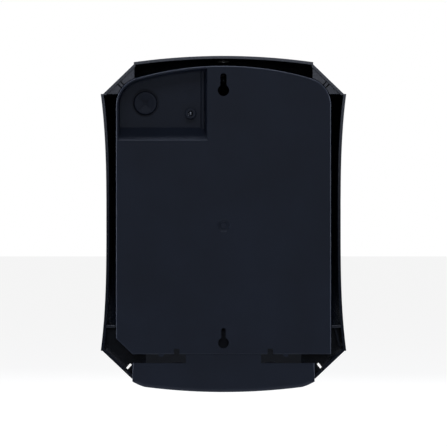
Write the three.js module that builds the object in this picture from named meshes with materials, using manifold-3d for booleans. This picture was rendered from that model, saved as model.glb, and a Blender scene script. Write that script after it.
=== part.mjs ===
// Wall-mounted push-lever soap dispenser: back plate, bottom-hinged cover, push lever, horizontal
// piston pump and an inverted refill bottle.
// Millimetres, +Z up, -Y towards the user. The origin is on the wall face of the back plate,
// midway between its two screw seats.
import * as THREE from "three";
import { mergeVertices } from "three/addons/utils/BufferGeometryUtils.js";
import Module from "manifold-3d";

const wasm = await Module();
wasm.setup();

// ---------------------------------------------------------------- driving dimensions
const GAP = 0.3; // between pieces that touch
const SIDES = 20; // facets of an ordinary round piece

// Cover: the outline against the wall, and how it runs forward
const TOP_Z = 131.5;
const TOP_RADIUS = 576;
const CORNER_X = 80; // end of the arched top panel
const WAIST_X = 104.5; // half width at the waist
const FLARE = 5; // how much wider each side is at its ends
const SIDE_TOP_Z = 97.5;
const SIDE_FOOT_Z = -131.5;
const FOOT_X = 81.5; // lower end of the lower corner facet
const FOOT_Z = -156;
const BOTTOM_Z = -158;
const UPPER_STEP = 1.5; // the corner facets stand back from the panels beside them
const LOWER_STEP = 1;
const WALL = 2.5;
const RIM_DEPTH = 3; // the cover's rim stands this far off the wall
const DRAFT = 0.026; // inward slope of the cover's sides
const FILLET_START = 106;
const FILLET_RADIUS = 20;
const CROWN = 16;
const FRAME_DEPTH = 28; // depth of the closed frame around the open underside

// Back plate
const PLATE_X = 95.7;
const PLATE_TOP_Z = 122.4;
const PLATE_ARCH = 280;
const PLATE_CORNER = 25;
const PLATE_FOOT_Z = -134.4;
const PANEL = 2.5;
const FLANGE_DEPTH = 16;
const FLANGE = 2;
const SEAT_Z = 113; // screw seats of the keyholes, above and below the origin
const POCKET_DEPTH = 14;
const TONGUE_BACK = 1.2; // the tongue stands this far in front of the wall face
const TONGUE_RIM = 6.2; // depth of the rim along its sides and foot

// Hinge line of the cover, and pivot line of the lever
const HINGE_Y = -13;
const HINGE_Z = -148;
const HINGE_ROD = 2.5;
const PIVOT_Y = -124;
const PIVOT_Z = -92;
const LEVER_PIN = 2;

// Lever
const LEVER_TOP_Z = -72;
const LEVER_ARCH = 113.5;
const LEVER_X = 80;
const LEVER_FOOT_Z = -165;
const LEVER_GAP = 1.2;

// Pump and refill
const PUMP_Z = -120;
const PORT_Y = -64;
const BORE = 9;
const SOCKET_Y = -68;
const BOTTLE_X = 76;
const BOTTLE_BACK_Y = -22;
const BOTTLE_FRONT_Y = -114;
const BOTTLE_TOP_Z = 84;
const BOTTLE_FOOT_Z = -79.6;
const SHELF_Z = -80; // top face of the shelf
const SHELF = 3;

// Lock
const LOCK_Y = -38;
const STRIKE_X = -13;

// ---------------------------------------------------------------- solid helpers
function solidOf(geometry) {
  const bare = geometry.index ? geometry.toNonIndexed() : geometry.clone();
  bare.deleteAttribute("normal");
  bare.deleteAttribute("uv");
  const merged = mergeVertices(bare, 1e-4);
  const corners = merged.index.array;
  const kept = [];
  for (let i = 0; i < corners.length; i += 3) {
    const [a, b, c] = [corners[i], corners[i + 1], corners[i + 2]];
    if (a !== b && b !== c && c !== a) kept.push(a, b, c);
  }
  const vertProperties = merged.attributes.position.array;
  const made = new wasm.Manifold(
    new wasm.Mesh({ numProp: 3, vertProperties, triVerts: new Uint32Array(kept) }),
  );
  if (made.volume() >= 0) return made;
  return new wasm.Manifold(
    new wasm.Mesh({ numProp: 3, vertProperties, triVerts: new Uint32Array(kept.reverse()) }),
  );
}

function geometryOf(solid) {
  const mesh = solid.getMesh();
  const geometry = new THREE.BufferGeometry();
  geometry.setAttribute("position", new THREE.BufferAttribute(mesh.vertProperties, 3));
  geometry.setIndex(new THREE.BufferAttribute(mesh.triVerts, 1));
  geometry.computeVertexNormals();
  return geometry;
}

const union = (...solids) => solids.reduce((a, b) => a.add(b));
const without = (solid, ...cuts) => cuts.reduce((a, b) => a.subtract(b), solid);

function box(x0, x1, y0, y1, z0, z1) {
  const geometry = new THREE.BoxGeometry(x1 - x0, y1 - y0, z1 - z0);
  return solidOf(geometry.translate((x0 + x1) / 2, (y0 + y1) / 2, (z0 + z1) / 2));
}

// A round bar from one end point, running along +X, +Y or +Z.
function bar(radius, axis, x, y, z, length, sides = SIDES) {
  const geometry = new THREE.CylinderGeometry(radius, radius, length, sides);
  geometry.translate(0, length / 2, 0);
  if (axis === "x") geometry.rotateZ(-Math.PI / 2);
  if (axis === "z") geometry.rotateX(Math.PI / 2);
  return solidOf(geometry.translate(x, y, z));
}

// A profile of [radius, height] points turned about +Z.
function turned(profile, sides = SIDES) {
  const points = profile.map(([r, h]) => new THREE.Vector2(r, h));
  return solidOf(new THREE.LatheGeometry(points, sides).rotateX(Math.PI / 2));
}

const AXES = {
  // shape x, shape y and depth as part-frame directions
  y: [new THREE.Vector3(1, 0, 0), new THREE.Vector3(0, 0, 1), new THREE.Vector3(0, -1, 0)],
  x: [new THREE.Vector3(0, 1, 0), new THREE.Vector3(0, 0, 1), new THREE.Vector3(1, 0, 0)],
  z: [new THREE.Vector3(1, 0, 0), new THREE.Vector3(0, 1, 0), new THREE.Vector3(0, 0, 1)],
};

// A flat outline with thickness: drawn in XZ for "y", in YZ for "x" and in XY for "z".
function slab(shape, axis, from, to, curveSegments = 8) {
  const [low, high] = [Math.min(from, to), Math.max(from, to)];
  const outline = shape.getPoints(curveSegments);
  const kept = outline.filter((p, i) => p.distanceTo(outline[(i + 1) % outline.length]) > 0.02);
  const geometry = new THREE.ExtrudeGeometry(new THREE.Shape(kept), {
    depth: high - low,
    bevelEnabled: false,
  });
  geometry.applyMatrix4(new THREE.Matrix4().makeBasis(...AXES[axis]));
  const shift = { x: [low, 0, 0], y: [0, high, 0], z: [0, 0, low] }[axis];
  return solidOf(geometry.translate(...shift));
}

const polygon = (points) => new THREE.Shape(points.map(([a, b]) => new THREE.Vector2(a, b)));

// A closed body through rings of equal length, each a list of [x, y, z].
function loft(rings) {
  const n = rings[0].length;
  const positions = rings.flat(2);
  const index = [];
  for (let r = 0; r + 1 < rings.length; r++)
    for (let i = 0; i < n; i++) {
      const [a, b] = [r * n + i, r * n + ((i + 1) % n)];
      index.push(a, b, a + n, b, b + n, a + n);
    }
  const cap = (ring, first, turn) => {
    const middle = [0, 1, 2].map((k) => ring.reduce((sum, p) => sum + p[k], 0) / n);
    positions.push(...middle);
    const centre = positions.length / 3 - 1;
    for (let i = 0; i < n; i++) {
      const [a, b] = [first + i, first + ((i + 1) % n)];
      index.push(...(turn ? [centre, b, a] : [centre, a, b]));
    }
  };
  cap(rings[0], 0, true);
  cap(rings[rings.length - 1], (rings.length - 1) * n, false);
  const geometry = new THREE.BufferGeometry();
  geometry.setAttribute("position", new THREE.Float32BufferAttribute(positions, 3));
  geometry.setIndex(index);
  return solidOf(geometry);
}

// Where f falls through zero between low and high.
function root(f, low, high) {
  for (let i = 0; i < 40; i++) {
    const middle = (low + high) / 2;
    if (f(low) * f(middle) <= 0) high = middle;
    else low = middle;
  }
  return (low + high) / 2;
}

const steps = (n, from, to) => Array.from({ length: n + 1 }, (_, i) => from + ((to - from) * i) / n);

// ---------------------------------------------------------------- materials
const finish = (color, roughness, metalness = 0) => ({ color, roughness, metalness });
const FINISHES = {
  chassis: finish(0x1c2029, 0.55),
  shell: finish(0x0d0f13, 0.4),
  lever: finish(0x14171c, 0.45),
  smoke: finish(0x2a2c30, 0.1),
  bottle: finish(0xe6e6e0, 0.5),
  cap: finish(0x2b5f9e, 0.45),
  pump: finish(0xd9d9d4, 0.45),
  rubber: finish(0x202020, 0.8),
  silicone: finish(0xcfd3d2, 0.6),
  steel: finish(0xb4b6b8, 0.3, 1),
  spring: finish(0x9a9da0, 0.35, 1),
  lock: finish(0xc2c4c6, 0.25, 1),
};

function piece(parent, name, solid, slot, place = {}) {
  const material = new THREE.MeshStandardMaterial({ ...FINISHES[slot], flatShading: true });
  const mesh = new THREE.Mesh(geometryOf(solid), material);
  mesh.name = name;
  if (place.at) mesh.position.set(...place.at);
  if (place.turn) mesh.rotation.set(...place.turn);
  parent.add(mesh);
}

// ---------------------------------------------------------------- cover
const SIDE_MIDDLE = (SIDE_TOP_Z + SIDE_FOOT_Z) / 2;
const SIDE_HALF = (SIDE_TOP_Z - SIDE_FOOT_Z) / 2;
const topZ = (x) => TOP_Z - (x * x) / (2 * TOP_RADIUS);
const sideX = (z) => WAIST_X + FLARE * Math.abs((z - SIDE_MIDDLE) / SIDE_HALF) ** 3;

// The line of a corner facet as {nx, nz, c}: its points have nx * x + nz * z = c.
function facetLine([x0, z0], [x1, z1]) {
  const length = Math.hypot(x1 - x0, z1 - z0);
  const [nx, nz] = [(z0 - z1) / length, (x1 - x0) / length];
  const sign = nx * x0 + nz * z0 < 0 ? -1 : 1;
  return { nx: sign * nx, nz: sign * nz, c: sign * (nx * x0 + nz * z0) };
}
const UPPER = facetLine([CORNER_X, topZ(CORNER_X)], [sideX(SIDE_TOP_Z), SIDE_TOP_Z]);
const LOWER = facetLine([sideX(SIDE_FOOT_Z), SIDE_FOOT_Z], [FOOT_X + LOWER_STEP, FOOT_Z - LOWER_STEP]);
const facetZ = (line, inset, x) => (line.c - inset - line.nx * x) / line.nz;
const facetX = (line, inset, z) => (line.c - inset - line.nz * z) / line.nx;

// One closed ring of the cover at a depth, pulled in by inset, with its corner facets stood back.
function coverRing(depth, inset, share) {
  const [upper, lower] = [inset + UPPER_STEP * share, inset + LOWER_STEP * share];
  const endX = root((x) => topZ(x) - inset - facetZ(UPPER, inset, x), 50, 100);
  const endZ = root((z) => sideX(z) - inset - facetX(UPPER, inset, z), 60, 110);
  const footZ = root((z) => sideX(z) - inset - facetX(LOWER, inset, z), -150, -90);
  const footX = FOOT_X - 0.4 * inset;
  const half = [
    ...steps(6, 0, endX).map((x) => [x, topZ(x) - inset]),
    ...steps(1, endX - 0.02, 0).slice(0, 1).map((x) => [x, facetZ(UPPER, upper, x)]),
    [facetX(UPPER, upper, endZ + 0.02), endZ + 0.02],
    ...steps(10, endZ, footZ).map((z) => [sideX(z) - inset, z]),
    [facetX(LOWER, lower, footZ - 0.02), footZ - 0.02],
    [footX, facetZ(LOWER, lower, footX)],
    [footX - 1, BOTTOM_Z + inset],
    [footX / 2, BOTTOM_Z + inset],
    [0, BOTTOM_Z + inset],
  ];
  const mirrored = half.slice(1, -1).reverse().map(([x, z]) => [-x, z]);
  return [...half, ...mirrored].map(([x, z]) => [x, -depth, z]);
}

// The cover's outside pulled in by wall: drafted sides, a rounded front edge and a crowned face.
function coverBody(wall) {
  const share = (depth) => Math.max(0.1, 1 - depth / (FILLET_START + FILLET_RADIUS));
  const side = [RIM_DEPTH - (wall > 0 ? 1 : 0), 54, FILLET_START].map((depth) =>
    coverRing(depth, wall + DRAFT * depth, share(depth)),
  );
  const radius = FILLET_RADIUS - wall;
  const rounded = [0.4, 0.8, 1.1, 1.35].map((angle) => {
    const depth = FILLET_START + radius * Math.sin(angle);
    const inset = wall + DRAFT * FILLET_START + radius * (1 - Math.cos(angle));
    return coverRing(depth, inset, share(depth));
  });
  const edge = rounded[rounded.length - 1];
  const middleZ = (TOP_Z + BOTTOM_Z) / 2;
  const face = [0.8, 0.55, 0.3].map((s) =>
    edge.map(([x, y, z]) => [x * s, y - CROWN * (1 - s * s), middleZ + (z - middleZ) * s]),
  );
  return loft([...side, ...rounded, ...face]);
}

// The stadium-shaped hole of the sight window, grown by grow.
function windowShape(grow) {
  const [low, high, radius] = [-25, 32, 12 + grow];
  const shape = new THREE.Shape();
  shape.absarc(0, high, radius, 0, Math.PI, false);
  shape.absarc(0, low, radius, Math.PI, 2 * Math.PI, false);
  return shape;
}

// The lever's outline: an arched top, near-upright sides and a shallow curved foot.
function leverShape(grow) {
  const centreZ = LEVER_TOP_Z - LEVER_ARCH;
  const radius = LEVER_ARCH + grow;
  const shoulder = Math.acos((LEVER_X - 7) / LEVER_ARCH);
  const shape = new THREE.Shape();
  shape.absarc(0, centreZ, radius, shoulder, Math.PI - shoulder, false);
  const x = LEVER_X + grow;
  shape.quadraticCurveTo(-x, LEVER_TOP_Z - 33 + grow, -x - 0.6, LEVER_TOP_Z - 43);
  shape.lineTo(-x - 2, LEVER_FOOT_Z + 18);
  shape.quadraticCurveTo(-x - 2, LEVER_FOOT_Z + 4 - grow, -x + 12, LEVER_FOOT_Z + 3.4 - grow);
  shape.quadraticCurveTo(0, LEVER_FOOT_Z - 3.4 - grow, x - 12, LEVER_FOOT_Z + 3.4 - grow);
  shape.quadraticCurveTo(x + 2, LEVER_FOOT_Z + 4 - grow, x + 2, LEVER_FOOT_Z + 18);
  shape.lineTo(x + 0.6, LEVER_TOP_Z - 43);
  const [endX, endZ] = [radius * Math.cos(shoulder), centreZ + radius * Math.sin(shoulder)];
  shape.quadraticCurveTo(x, LEVER_TOP_Z - 33 + grow, endX, endZ);
  return shape;
}

// The plate's rounded top corner is met by both the plate and the cover's corner webs.
const CORNER_CENTRE_X = PLATE_X - PLATE_CORNER;
const ARCH_CENTRE_Z = PLATE_TOP_Z - PLATE_ARCH;
const CORNER_CENTRE_Z = ARCH_CENTRE_Z + Math.sqrt((PLATE_ARCH - PLATE_CORNER) ** 2 - CORNER_CENTRE_X ** 2);
const CORNER_ANGLE = Math.atan2(CORNER_CENTRE_Z - ARCH_CENTRE_Z, CORNER_CENTRE_X);

// The main panel's outline, pulled in by inset. Its +X foot corner is cut off at a slant.
function plateShape(inset) {
  const x = PLATE_X - inset;
  const foot = PLATE_FOOT_Z + inset;
  const shape = new THREE.Shape();
  shape.moveTo(81 - 0.4 * inset, foot);
  shape.lineTo(x, -120.2 + 0.5 * inset);
  shape.absarc(CORNER_CENTRE_X, CORNER_CENTRE_Z, PLATE_CORNER - inset, 0, CORNER_ANGLE, false);
  shape.absarc(0, ARCH_CENTRE_Z, PLATE_ARCH - inset, CORNER_ANGLE, Math.PI - CORNER_ANGLE, false);
  shape.absarc(-CORNER_CENTRE_X, CORNER_CENTRE_Z, PLATE_CORNER - inset, Math.PI - CORNER_ANGLE, Math.PI, false);
  shape.lineTo(-x, foot);
  return shape;
}

function upperCornerWeb(side) {
  const [low, high] = side > 0 ? [CORNER_X - 0.5, 112] : [-112, 0.5 - CORNER_X];
  const web = box(low, high, -8, -5.5, SIDE_TOP_Z, 128).intersect(coverBody(WALL - 0.4));
  const cleared = web.subtract(slab(plateShape(-0.8), "y", -10, 0));
  // a U-shaped slit frees a narrow snap finger beside the facet
  const slit = union(
    box(-6.5, 6.5, -9, -4, -2.2, -1.2),
    box(-6.5, 6.5, -9, -4, 1.2, 2.2),
    box(5.5, 6.5, -9, -4, -2.2, 2.2),
  );
  const placed = solidOf(
    geometryOf(slit).rotateY(side > 0 ? Math.PI / 4 : (3 * Math.PI) / 4).translate(side * 92, 0, 106.3),
  );
  return cleared.subtract(placed);
}

const LOWER_WEB_Y = -FRAME_DEPTH; // front face of the lower corner webs
function lowerCornerWeb(side) {
  const span = (a, b) => (side > 0 ? [a, b] : [-b, -a]);
  const inside = coverBody(WALL - 0.4);
  const web = box(...span(70, 112), LOWER_WEB_Y, LOWER_WEB_Y + 2.5, -154, -108.3).intersect(inside);
  const ledge = box(...span(96.6, 112), LOWER_WEB_Y, -5, -111.3, -108.3).intersect(inside);
  const lug = bar(5.5, "x", side > 0 ? 72 : -80.5, HINGE_Y, HINGE_Z, 8.5);
  const arm = box(...span(73, 80), LOWER_WEB_Y + 1, HINGE_Y, -152.5, -143.5);
  const socket = bar(HINGE_ROD + GAP, "x", side > 0 ? 71 : -79, HINGE_Y, HINGE_Z, 8);
  return without(union(web, ledge, lug, arm), socket);
}

// Drain slot, square to the corner facet, that runs into the wall behind it.
function drainSlot(side) {
  const slot = geometryOf(box(-1, 1, -30, -2, -4.6, 4.2));
  const [x, z, lean] = side > 0 ? [86.2, -147.8, -0.744] : [-87.4, -147.4, 0.64];
  return solidOf(slot.rotateY(lean).translate(x, 0, z)).intersect(coverBody(1.2));
}

function leverEar(x) {
  const outline = polygon([
    [-143, -40], [-143, -66], [-126, -78], [-126, -86], [-128, -89.5], [-128, -96], [-118.5, -96],
    [-118.5, -76], [-130, -50], [-133, -40],
  ]);
  const ear = slab(outline, "x", x, x + 3).intersect(coverBody(WALL - 0.5));
  const peg = bar(1.2, "x", x > 0 ? x - 2.4 : x + 2.8, PIVOT_Y + 1.6, PIVOT_Z + 7.5, 2.6, 12);
  return ear.add(peg).subtract(bar(LEVER_PIN + GAP, "x", x - 1, PIVOT_Y, PIVOT_Z, 5, 16));
}

const EAR_X = 47; // inner face of the cover's lever ears

function frontCover() {
  const shell = without(
    coverBody(0).subtract(coverBody(WALL)),
    box(-120, 120, -200, -FRAME_DEPTH, -200, SIDE_FOOT_Z),
    box(-FOOT_X, FOOT_X, -FRAME_DEPTH - 1, 0, -170, -150),
    slab(leverShape(LEVER_GAP), "y", -170, -100, 10),
    slab(windowShape(0), "y", -170, -100, 8),
    bar(8.5 + GAP, "z", 0, LOCK_Y, 120, 20),
  );
  const slantRib = slab(
    polygon([[-98.5, -109], [-99.9, -109], [-104.3, -126.2], [-110, -126.9], [-110, -128.3], [-103.1, -127.6]]),
    "y", LOWER_WEB_Y + 1, -9,
  ).intersect(coverBody(WALL - 0.4));
  const cover = union(
    shell,
    upperCornerWeb(1), upperCornerWeb(-1), lowerCornerWeb(1), lowerCornerWeb(-1),
    leverEar(EAR_X), leverEar(-EAR_X - 3), slantRib,
  );
  return without(cover, drainSlot(1), drainSlot(-1));
}

function sightWindow() {
  const lens = slab(windowShape(-GAP), "y", -170, -100).intersect(coverBody(0).subtract(coverBody(WALL + 2)));
  const flange = slab(windowShape(4), "y", -170, -100).intersect(
    coverBody(WALL + GAP).subtract(coverBody(WALL + 2)),
  );
  return lens.add(flange);
}

// ---------------------------------------------------------------- back plate
// The pocket's outline: its inner edge at x, its foot at z, the rest along the plate's own outline.
function pocketRing(y, x, z, inset) {
  const corner = steps(6, 0, CORNER_ANGLE).map((a) => [
    CORNER_CENTRE_X + (PLATE_CORNER - inset) * Math.cos(a),
    CORNER_CENTRE_Z + (PLATE_CORNER - inset) * Math.sin(a),
  ]);
  const radius = PLATE_ARCH - inset;
  const arch = steps(5, CORNER_ANGLE, Math.acos(x / radius)).slice(1).map((a) => [
    radius * Math.cos(a),
    ARCH_CENTRE_Z + radius * Math.sin(a),
  ]);
  return [[x, z], [PLATE_X - inset, z], ...corner, ...arch].map(([px, pz]) => [px, y, pz]);
}

const POCKET_X = 14.5;
const POCKET_Z = 55.6;
const pocketHollow = () =>
  loft([
    pocketRing(1, POCKET_X - 0.3, POCKET_Z - 0.9, FLANGE),
    pocketRing(-POCKET_DEPTH, POCKET_X + 6, POCKET_Z + 12.4, FLANGE + 0.4),
  ]);
const pocketShell = () =>
  loft([
    pocketRing(-0.5, POCKET_X - 2.2, POCKET_Z - 2.8, FLANGE / 2),
    pocketRing(-FLANGE_DEPTH, POCKET_X + 4.6, POCKET_Z + 11, FLANGE / 2),
  ]);

// A keyhole: a round entry below a narrower slot that ends on the screw seat.
function keyhole(seatZ, entryZ, entry, slot) {
  return union(
    bar(entry, "y", 0, -4, entryZ, 6, 24),
    bar(slot, "y", 0, -4, seatZ, 6, 16),
    box(-slot, slot, -4, 2, entryZ, seatZ),
  );
}

const PLUG_X = 70;
const PLUG_Z = 89.9;
const PLUG_RADIUS = 10.4;
const TAB_SCREW = [29.4, 80.5]; // screw that holds the leaf spring
const BRACKET_SCREWS = [[45, -92], [-45, -92], [45, -114], [-45, -114]];
const STRIKE_SCREWS = [[-21.4, 98.5], [-30.6, 98.5]];
const HINGE_NOTCH_X = 41.7;

function hingeKnuckle(x) {
  const block = box(x - 3.5, x + 3.5, HINGE_Y, -PANEL - TONGUE_BACK + 0.2, HINGE_Z - 5.5, HINGE_Z + 5.5);
  return union(bar(5.5, "x", x - 3.5, HINGE_Y, HINGE_Z, 7), block).subtract(
    bar(HINGE_ROD + GAP, "x", x - 4, HINGE_Y, HINGE_Z, 8),
  );
}

// The apron below the main panel: drawn with its tab, or pulled in by inset and open at the top.
function tongueShape(inset = 0) {
  const [x, foot] = [FOOT_X - GAP - inset, inset];
  const shape = new THREE.Shape();
  shape.moveTo(x, -142.4 + 4 * inset);
  shape.lineTo(-x, -142.4 + 4 * inset);
  shape.lineTo(-x, -158.6 + foot);
  shape.quadraticCurveTo(-78 + inset, -161.6 + foot, -70.3, -163.9 + foot);
  shape.quadraticCurveTo(0, -173 + foot, 70.3, -163.9 + foot);
  shape.quadraticCurveTo(78 - inset, -161.6 + foot, x, -158.6 + foot);
  return shape;
}

function backPlate() {
  const tray = slab(plateShape(0), "y", -FLANGE_DEPTH, 0, 12).subtract(
    slab(plateShape(FLANGE), "y", -FLANGE_DEPTH - 1, -PANEL, 12),
  );
  const tongue = union(
    box(-33.5, 33.5, -PANEL - TONGUE_BACK, -TONGUE_BACK, -143.4, -133),
    slab(tongueShape(), "y", -TONGUE_RIM, -TONGUE_BACK, 10).subtract(
      slab(tongueShape(FLANGE), "y", -TONGUE_RIM - 1, -PANEL - TONGUE_BACK, 10),
    ),
  );
  const boss = (x, z, radius, y0, y1) => bar(radius, "y", x, y0, z, y1 - y0, 16);
  const ribs = [
    ...[-62, -28, 28, 62].map((x) => box(x - 0.9, x + 0.9, -11, -2, -133, 50)),
    ...[-64, -12, 40].map((z) => box(-94, 94, -11, -2, z - 0.9, z + 0.9)),
  ];
  const nubs = [-55.5, 55.5].map((x) => bar(2.4, "y", x, -9, PLATE_FOOT_Z, 8, 12));
  const solid = union(
    tray, tongue, pocketShell(), ...ribs, ...nubs,
    ...BRACKET_SCREWS.map(([x, z]) => boss(x, z, 4.5, -FLANGE_DEPTH, -2)),
    ...STRIKE_SCREWS.map(([x, z]) => boss(x, z, 4, -10, -2)),
    hingeKnuckle(HINGE_NOTCH_X), hingeKnuckle(-HINGE_NOTCH_X),
  );
  const [tabX, tabZ] = TAB_SCREW;
  const hollowed = union(
    solid.subtract(pocketHollow()),
    boss(tabX, tabZ, 5, -POCKET_DEPTH - 1, -POCKET_DEPTH + 4.5),
    boss(tabX, tabZ + 19.2, 2, -FLANGE_DEPTH - 2.4, -FLANGE_DEPTH + 1),
  );
  const gate = turned([[0, 0.5], [1.4, 0.4], [2.1, -0.1], [3, -0.2], [5.2, 0.6], [5.2, 2], [0, 2]], 24);
  const gatePlaced = solidOf(geometryOf(gate).rotateX(-Math.PI / 2).translate(0, -0.7, -20.5));
  return without(
    hollowed,
    keyhole(SEAT_Z, 100.4, 5.1, 2.75),
    keyhole(-SEAT_Z, -124.3, 4.8, 2),
    bar(PLUG_RADIUS + GAP, "y", PLUG_X, -20, PLUG_Z, 10, 28),
    boss(PLUG_X, PLUG_Z, 12.4, -POCKET_DEPTH - 0.9, -POCKET_DEPTH + 1),
    boss(tabX, tabZ, 2.3, -20, 0),
    boss(tabX, tabZ + 19.2, 3.2, -POCKET_DEPTH - 0.5, -POCKET_DEPTH + 1),
    ...BRACKET_SCREWS.map(([x, z]) => boss(x, z, 2.2, -20, -3.5)),
    ...STRIKE_SCREWS.map(([x, z]) => boss(x, z, 1.8, -12, -3.5)),
    ...[-1, 1].map((s) => box(s * HINGE_NOTCH_X - 2.5, s * HINGE_NOTCH_X + 2.5, -20, 1, -140, -129.4)),
    gatePlaced,
  );
}

// A press-in blanking plug with a raised cross, seen from the wall side of the pocket floor.
function cablePlug() {
  const disc = turned(
    [
      [0, 0], [PLUG_RADIUS, 0], [PLUG_RADIUS, -4.4],
      [PLUG_RADIUS - 1.4, -4.4], [PLUG_RADIUS - 1.4, -1.6], [0, -1.6],
    ],
    28,
  );
  const arm = () => box(-8.4, 8.4, -1, 1, -0.4, 0.7);
  const cross = [Math.PI / 4, -Math.PI / 4].map((a) => solidOf(geometryOf(arm()).rotateZ(a)));
  return union(disc, ...cross);
}

// ---------------------------------------------------------------- fasteners
// A pan-head screw with a cross recess: head up, shank down, underside of the head at z = 0.
function screw(shank, length, head) {
  const body = turned(
    [[0, head * 0.72], [head * 0.55, head * 0.66], [head, head * 0.25], [head, 0], [shank, 0],
      [shank, -length + shank], [0, -length]],
    12,
  );
  const slot = (a) => solidOf(geometryOf(box(-head * 0.5, head * 0.5, -0.4, 0.4, head * 0.4, head)).rotateZ(a));
  return without(body, slot(0), slot(Math.PI / 2));
}

// ---------------------------------------------------------------- refill
function bottleRing(z, inset) {
  const [x, back, front] = [BOTTLE_X - inset, BOTTLE_BACK_Y - inset, BOTTLE_FRONT_Y + inset];
  const radius = Math.max(4, 20 - inset * 0.5);
  const corner = (cx, cy, from) =>
    steps(5, from, from + Math.PI / 2).map((a) => [cx + radius * Math.cos(a), cy + radius * Math.sin(a), z]);
  return [
    ...corner(x - radius, back - radius, 0),
    ...corner(radius - x, back - radius, Math.PI / 2),
    ...corner(radius - x, front + radius, Math.PI),
    ...corner(x - radius, front + radius, 1.5 * Math.PI),
  ];
}

function refillBottle() {
  const profile = [
    [BOTTLE_FOOT_Z, 14], [-77, 6], [-70, 1], [-64, 0], [-54, 0], [-51, 1.2],
    [50, 1.2], [53, 0], [66, 0], [76, 3], [81.5, 8], [BOTTLE_TOP_Z, 17],
  ];
  const body = loft(profile.map(([z, inset]) => bottleRing(z, inset)));
  return body.add(bar(16.5, "z", 0, SOCKET_Y, -97, 20, 24));
}

const refillCap = () =>
  turned([[16.9, 14.6], [20, 14.6], [20, 0], [5, 0], [5, 1.2], [16.9, 1.2], [16.9, 14.6]], 24);

// ---------------------------------------------------------------- pump
function pumpBody() {
  const lug = (s) => box(...(s > 0 ? [20, 36] : [-36, -20]), -75, -61, -90, -87);
  const outside = union(
    bar(12, "y", 0, -92, PUMP_Z, 47),
    bar(23.5, "z", 0, SOCKET_Y, -103.5, 21, 28),
    bar(8, "z", 0, PORT_Y, -115, 13),
    bar(7, "z", 0, PORT_Y, -144, 16),
    lug(1), lug(-1),
  );
  return without(
    outside,
    bar(BORE, "y", 0, -94, PUMP_Z, 46),
    bar(20.7, "z", 0, SOCKET_Y, -100.5, 20, 28),
    bar(3.1, "z", 0, PORT_Y, -113, 14, 16),
    bar(3.6, "z", 0, PORT_Y, -146, 18, 16),
    ...[-30, 30].map((x) => bar(2.3, "z", x, SOCKET_Y, -92, 6, 12)),
  );
}

const neckSeal = () => turned([[10.5, 0], [15, 0], [15, 1.4], [10.5, 1.4], [10.5, 0]], 24);

// A duckbill valve: a flange with a hollow body that closes to a lip at its lower end.
const duckbill = (flange, body, length) =>
  turned(
    [[body - 1.2, 0], [flange, 0], [flange, -1], [body, -1], [body, -length * 0.5], [0.5, -length],
      [0, -length], [0, -length * 0.75], [body - 1.2, -length * 0.45], [body - 1.2, 0]],
    16,
  );

const pumpEndCap = () =>
  turned([[4.4, 0], [13.8, 0], [13.8, 14], [12.3, 14], [12.3, 6], [4.4, 6], [4.4, 0]], 24);

const spoutNut = () =>
  turned([[3.8, 0], [8, 0], [10, 3.5], [10, 18], [7.4, 18], [7.4, 6.4], [3.8, 6.4], [3.8, 0]], 24);

// Stem, push head and the two flanges that hold the seal, along +Z from the head's face.
const piston = () =>
  turned(
    [[0, 0], [9.4, 0], [10, 0.8], [10, 4], [4, 4], [4, 41], [8.6, 41], [8.6, 43.6], [6.4, 43.6],
      [6.4, 46.4], [8.6, 46.4], [8.6, 48.6], [0, 48.6]],
    20,
  );

const pistonSeal = () => turned([[6.7, 0], [8.8, 0], [8.8, 2.2], [6.7, 2.2], [6.7, 0]], 20);

// A coil of round wire about +Z, with optional straight legs at its two ends. Hand is 1 or -1.
class Coil extends THREE.Curve {
  constructor(radius, height, turns, leg, hand) {
    super();
    Object.assign(this, { radius, height, leg, hand });
    this.wire = 2 * Math.PI * radius * turns;
  }
  getPoint(t, target = new THREE.Vector3()) {
    const along = t * (this.wire + 2 * this.leg) - this.leg;
    const inside = Math.min(Math.max(along, 0), this.wire);
    const angle = inside / this.radius;
    const over = along - inside;
    return target.set(
      this.hand * (this.radius * Math.cos(angle) - over * Math.sin(angle)),
      this.radius * Math.sin(angle) + over * Math.cos(angle),
      (this.height * inside) / this.wire,
    );
  }
}

function coilSpring(radius, height, turns, wire, leg = 0, hand = 1) {
  const section = new THREE.Shape();
  section.absarc(0, 0, wire, 0, 2 * Math.PI, false);
  const curve = new Coil(radius, height, turns, leg, hand);
  const geometry = new THREE.ExtrudeGeometry(section, {
    steps: Math.round(turns * 9 + (leg ? 6 : 0)),
    curveSegments: 3,
    extrudePath: curve,
  });
  return solidOf(geometry);
}

// ---------------------------------------------------------------- pump bracket
function pumpBracket() {
  const low = SHELF_Z - SHELF;
  const gusset = (x) => slab(polygon([[-17, low + 1], [-95, low + 1], [-17, -120]]), "x", x - 1.3, x + 1.3);
  const cheek = (x0, x1) => box(x0, x1, -110, -20, low, -62);
  const solid = union(
    box(-66, 66, -19, -FLANGE_DEPTH - GAP, -130.2, SHELF_Z),
    box(-80.5, 80.5, -110, -FLANGE_DEPTH - GAP, low, SHELF_Z),
    cheek(78, 80.5), cheek(-80.5, -78),
    box(-80.5, 80.5, -117.4, -114.9, low, -72),
    box(-80.5, 80.5, -115.5, -109, low, SHELF_Z),
    gusset(60), gusset(-60),
    ...[-30, 30].map((x) => bar(4.5, "z", x, SOCKET_Y, -86.7, 5, 16)),
  );
  return without(
    solid,
    bar(24.2, "z", 0, SOCKET_Y, -95, 30, 28),
    ...[-30, 30].map((x) => bar(1.9, "z", x, SOCKET_Y, -90, 20, 12)),
    ...BRACKET_SCREWS.map(([x, z]) => bar(2.3, "y", x, -22, z, 8, 12)),
  );
}

// ---------------------------------------------------------------- lever
// Depth of the lever's face: it comes forward towards its foot and falls back at its sides.
const leverFace = (x, z) => -(139 + (6 * (LEVER_TOP_Z - z)) / 93 - 7 * (x / 82) ** 2);

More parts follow.
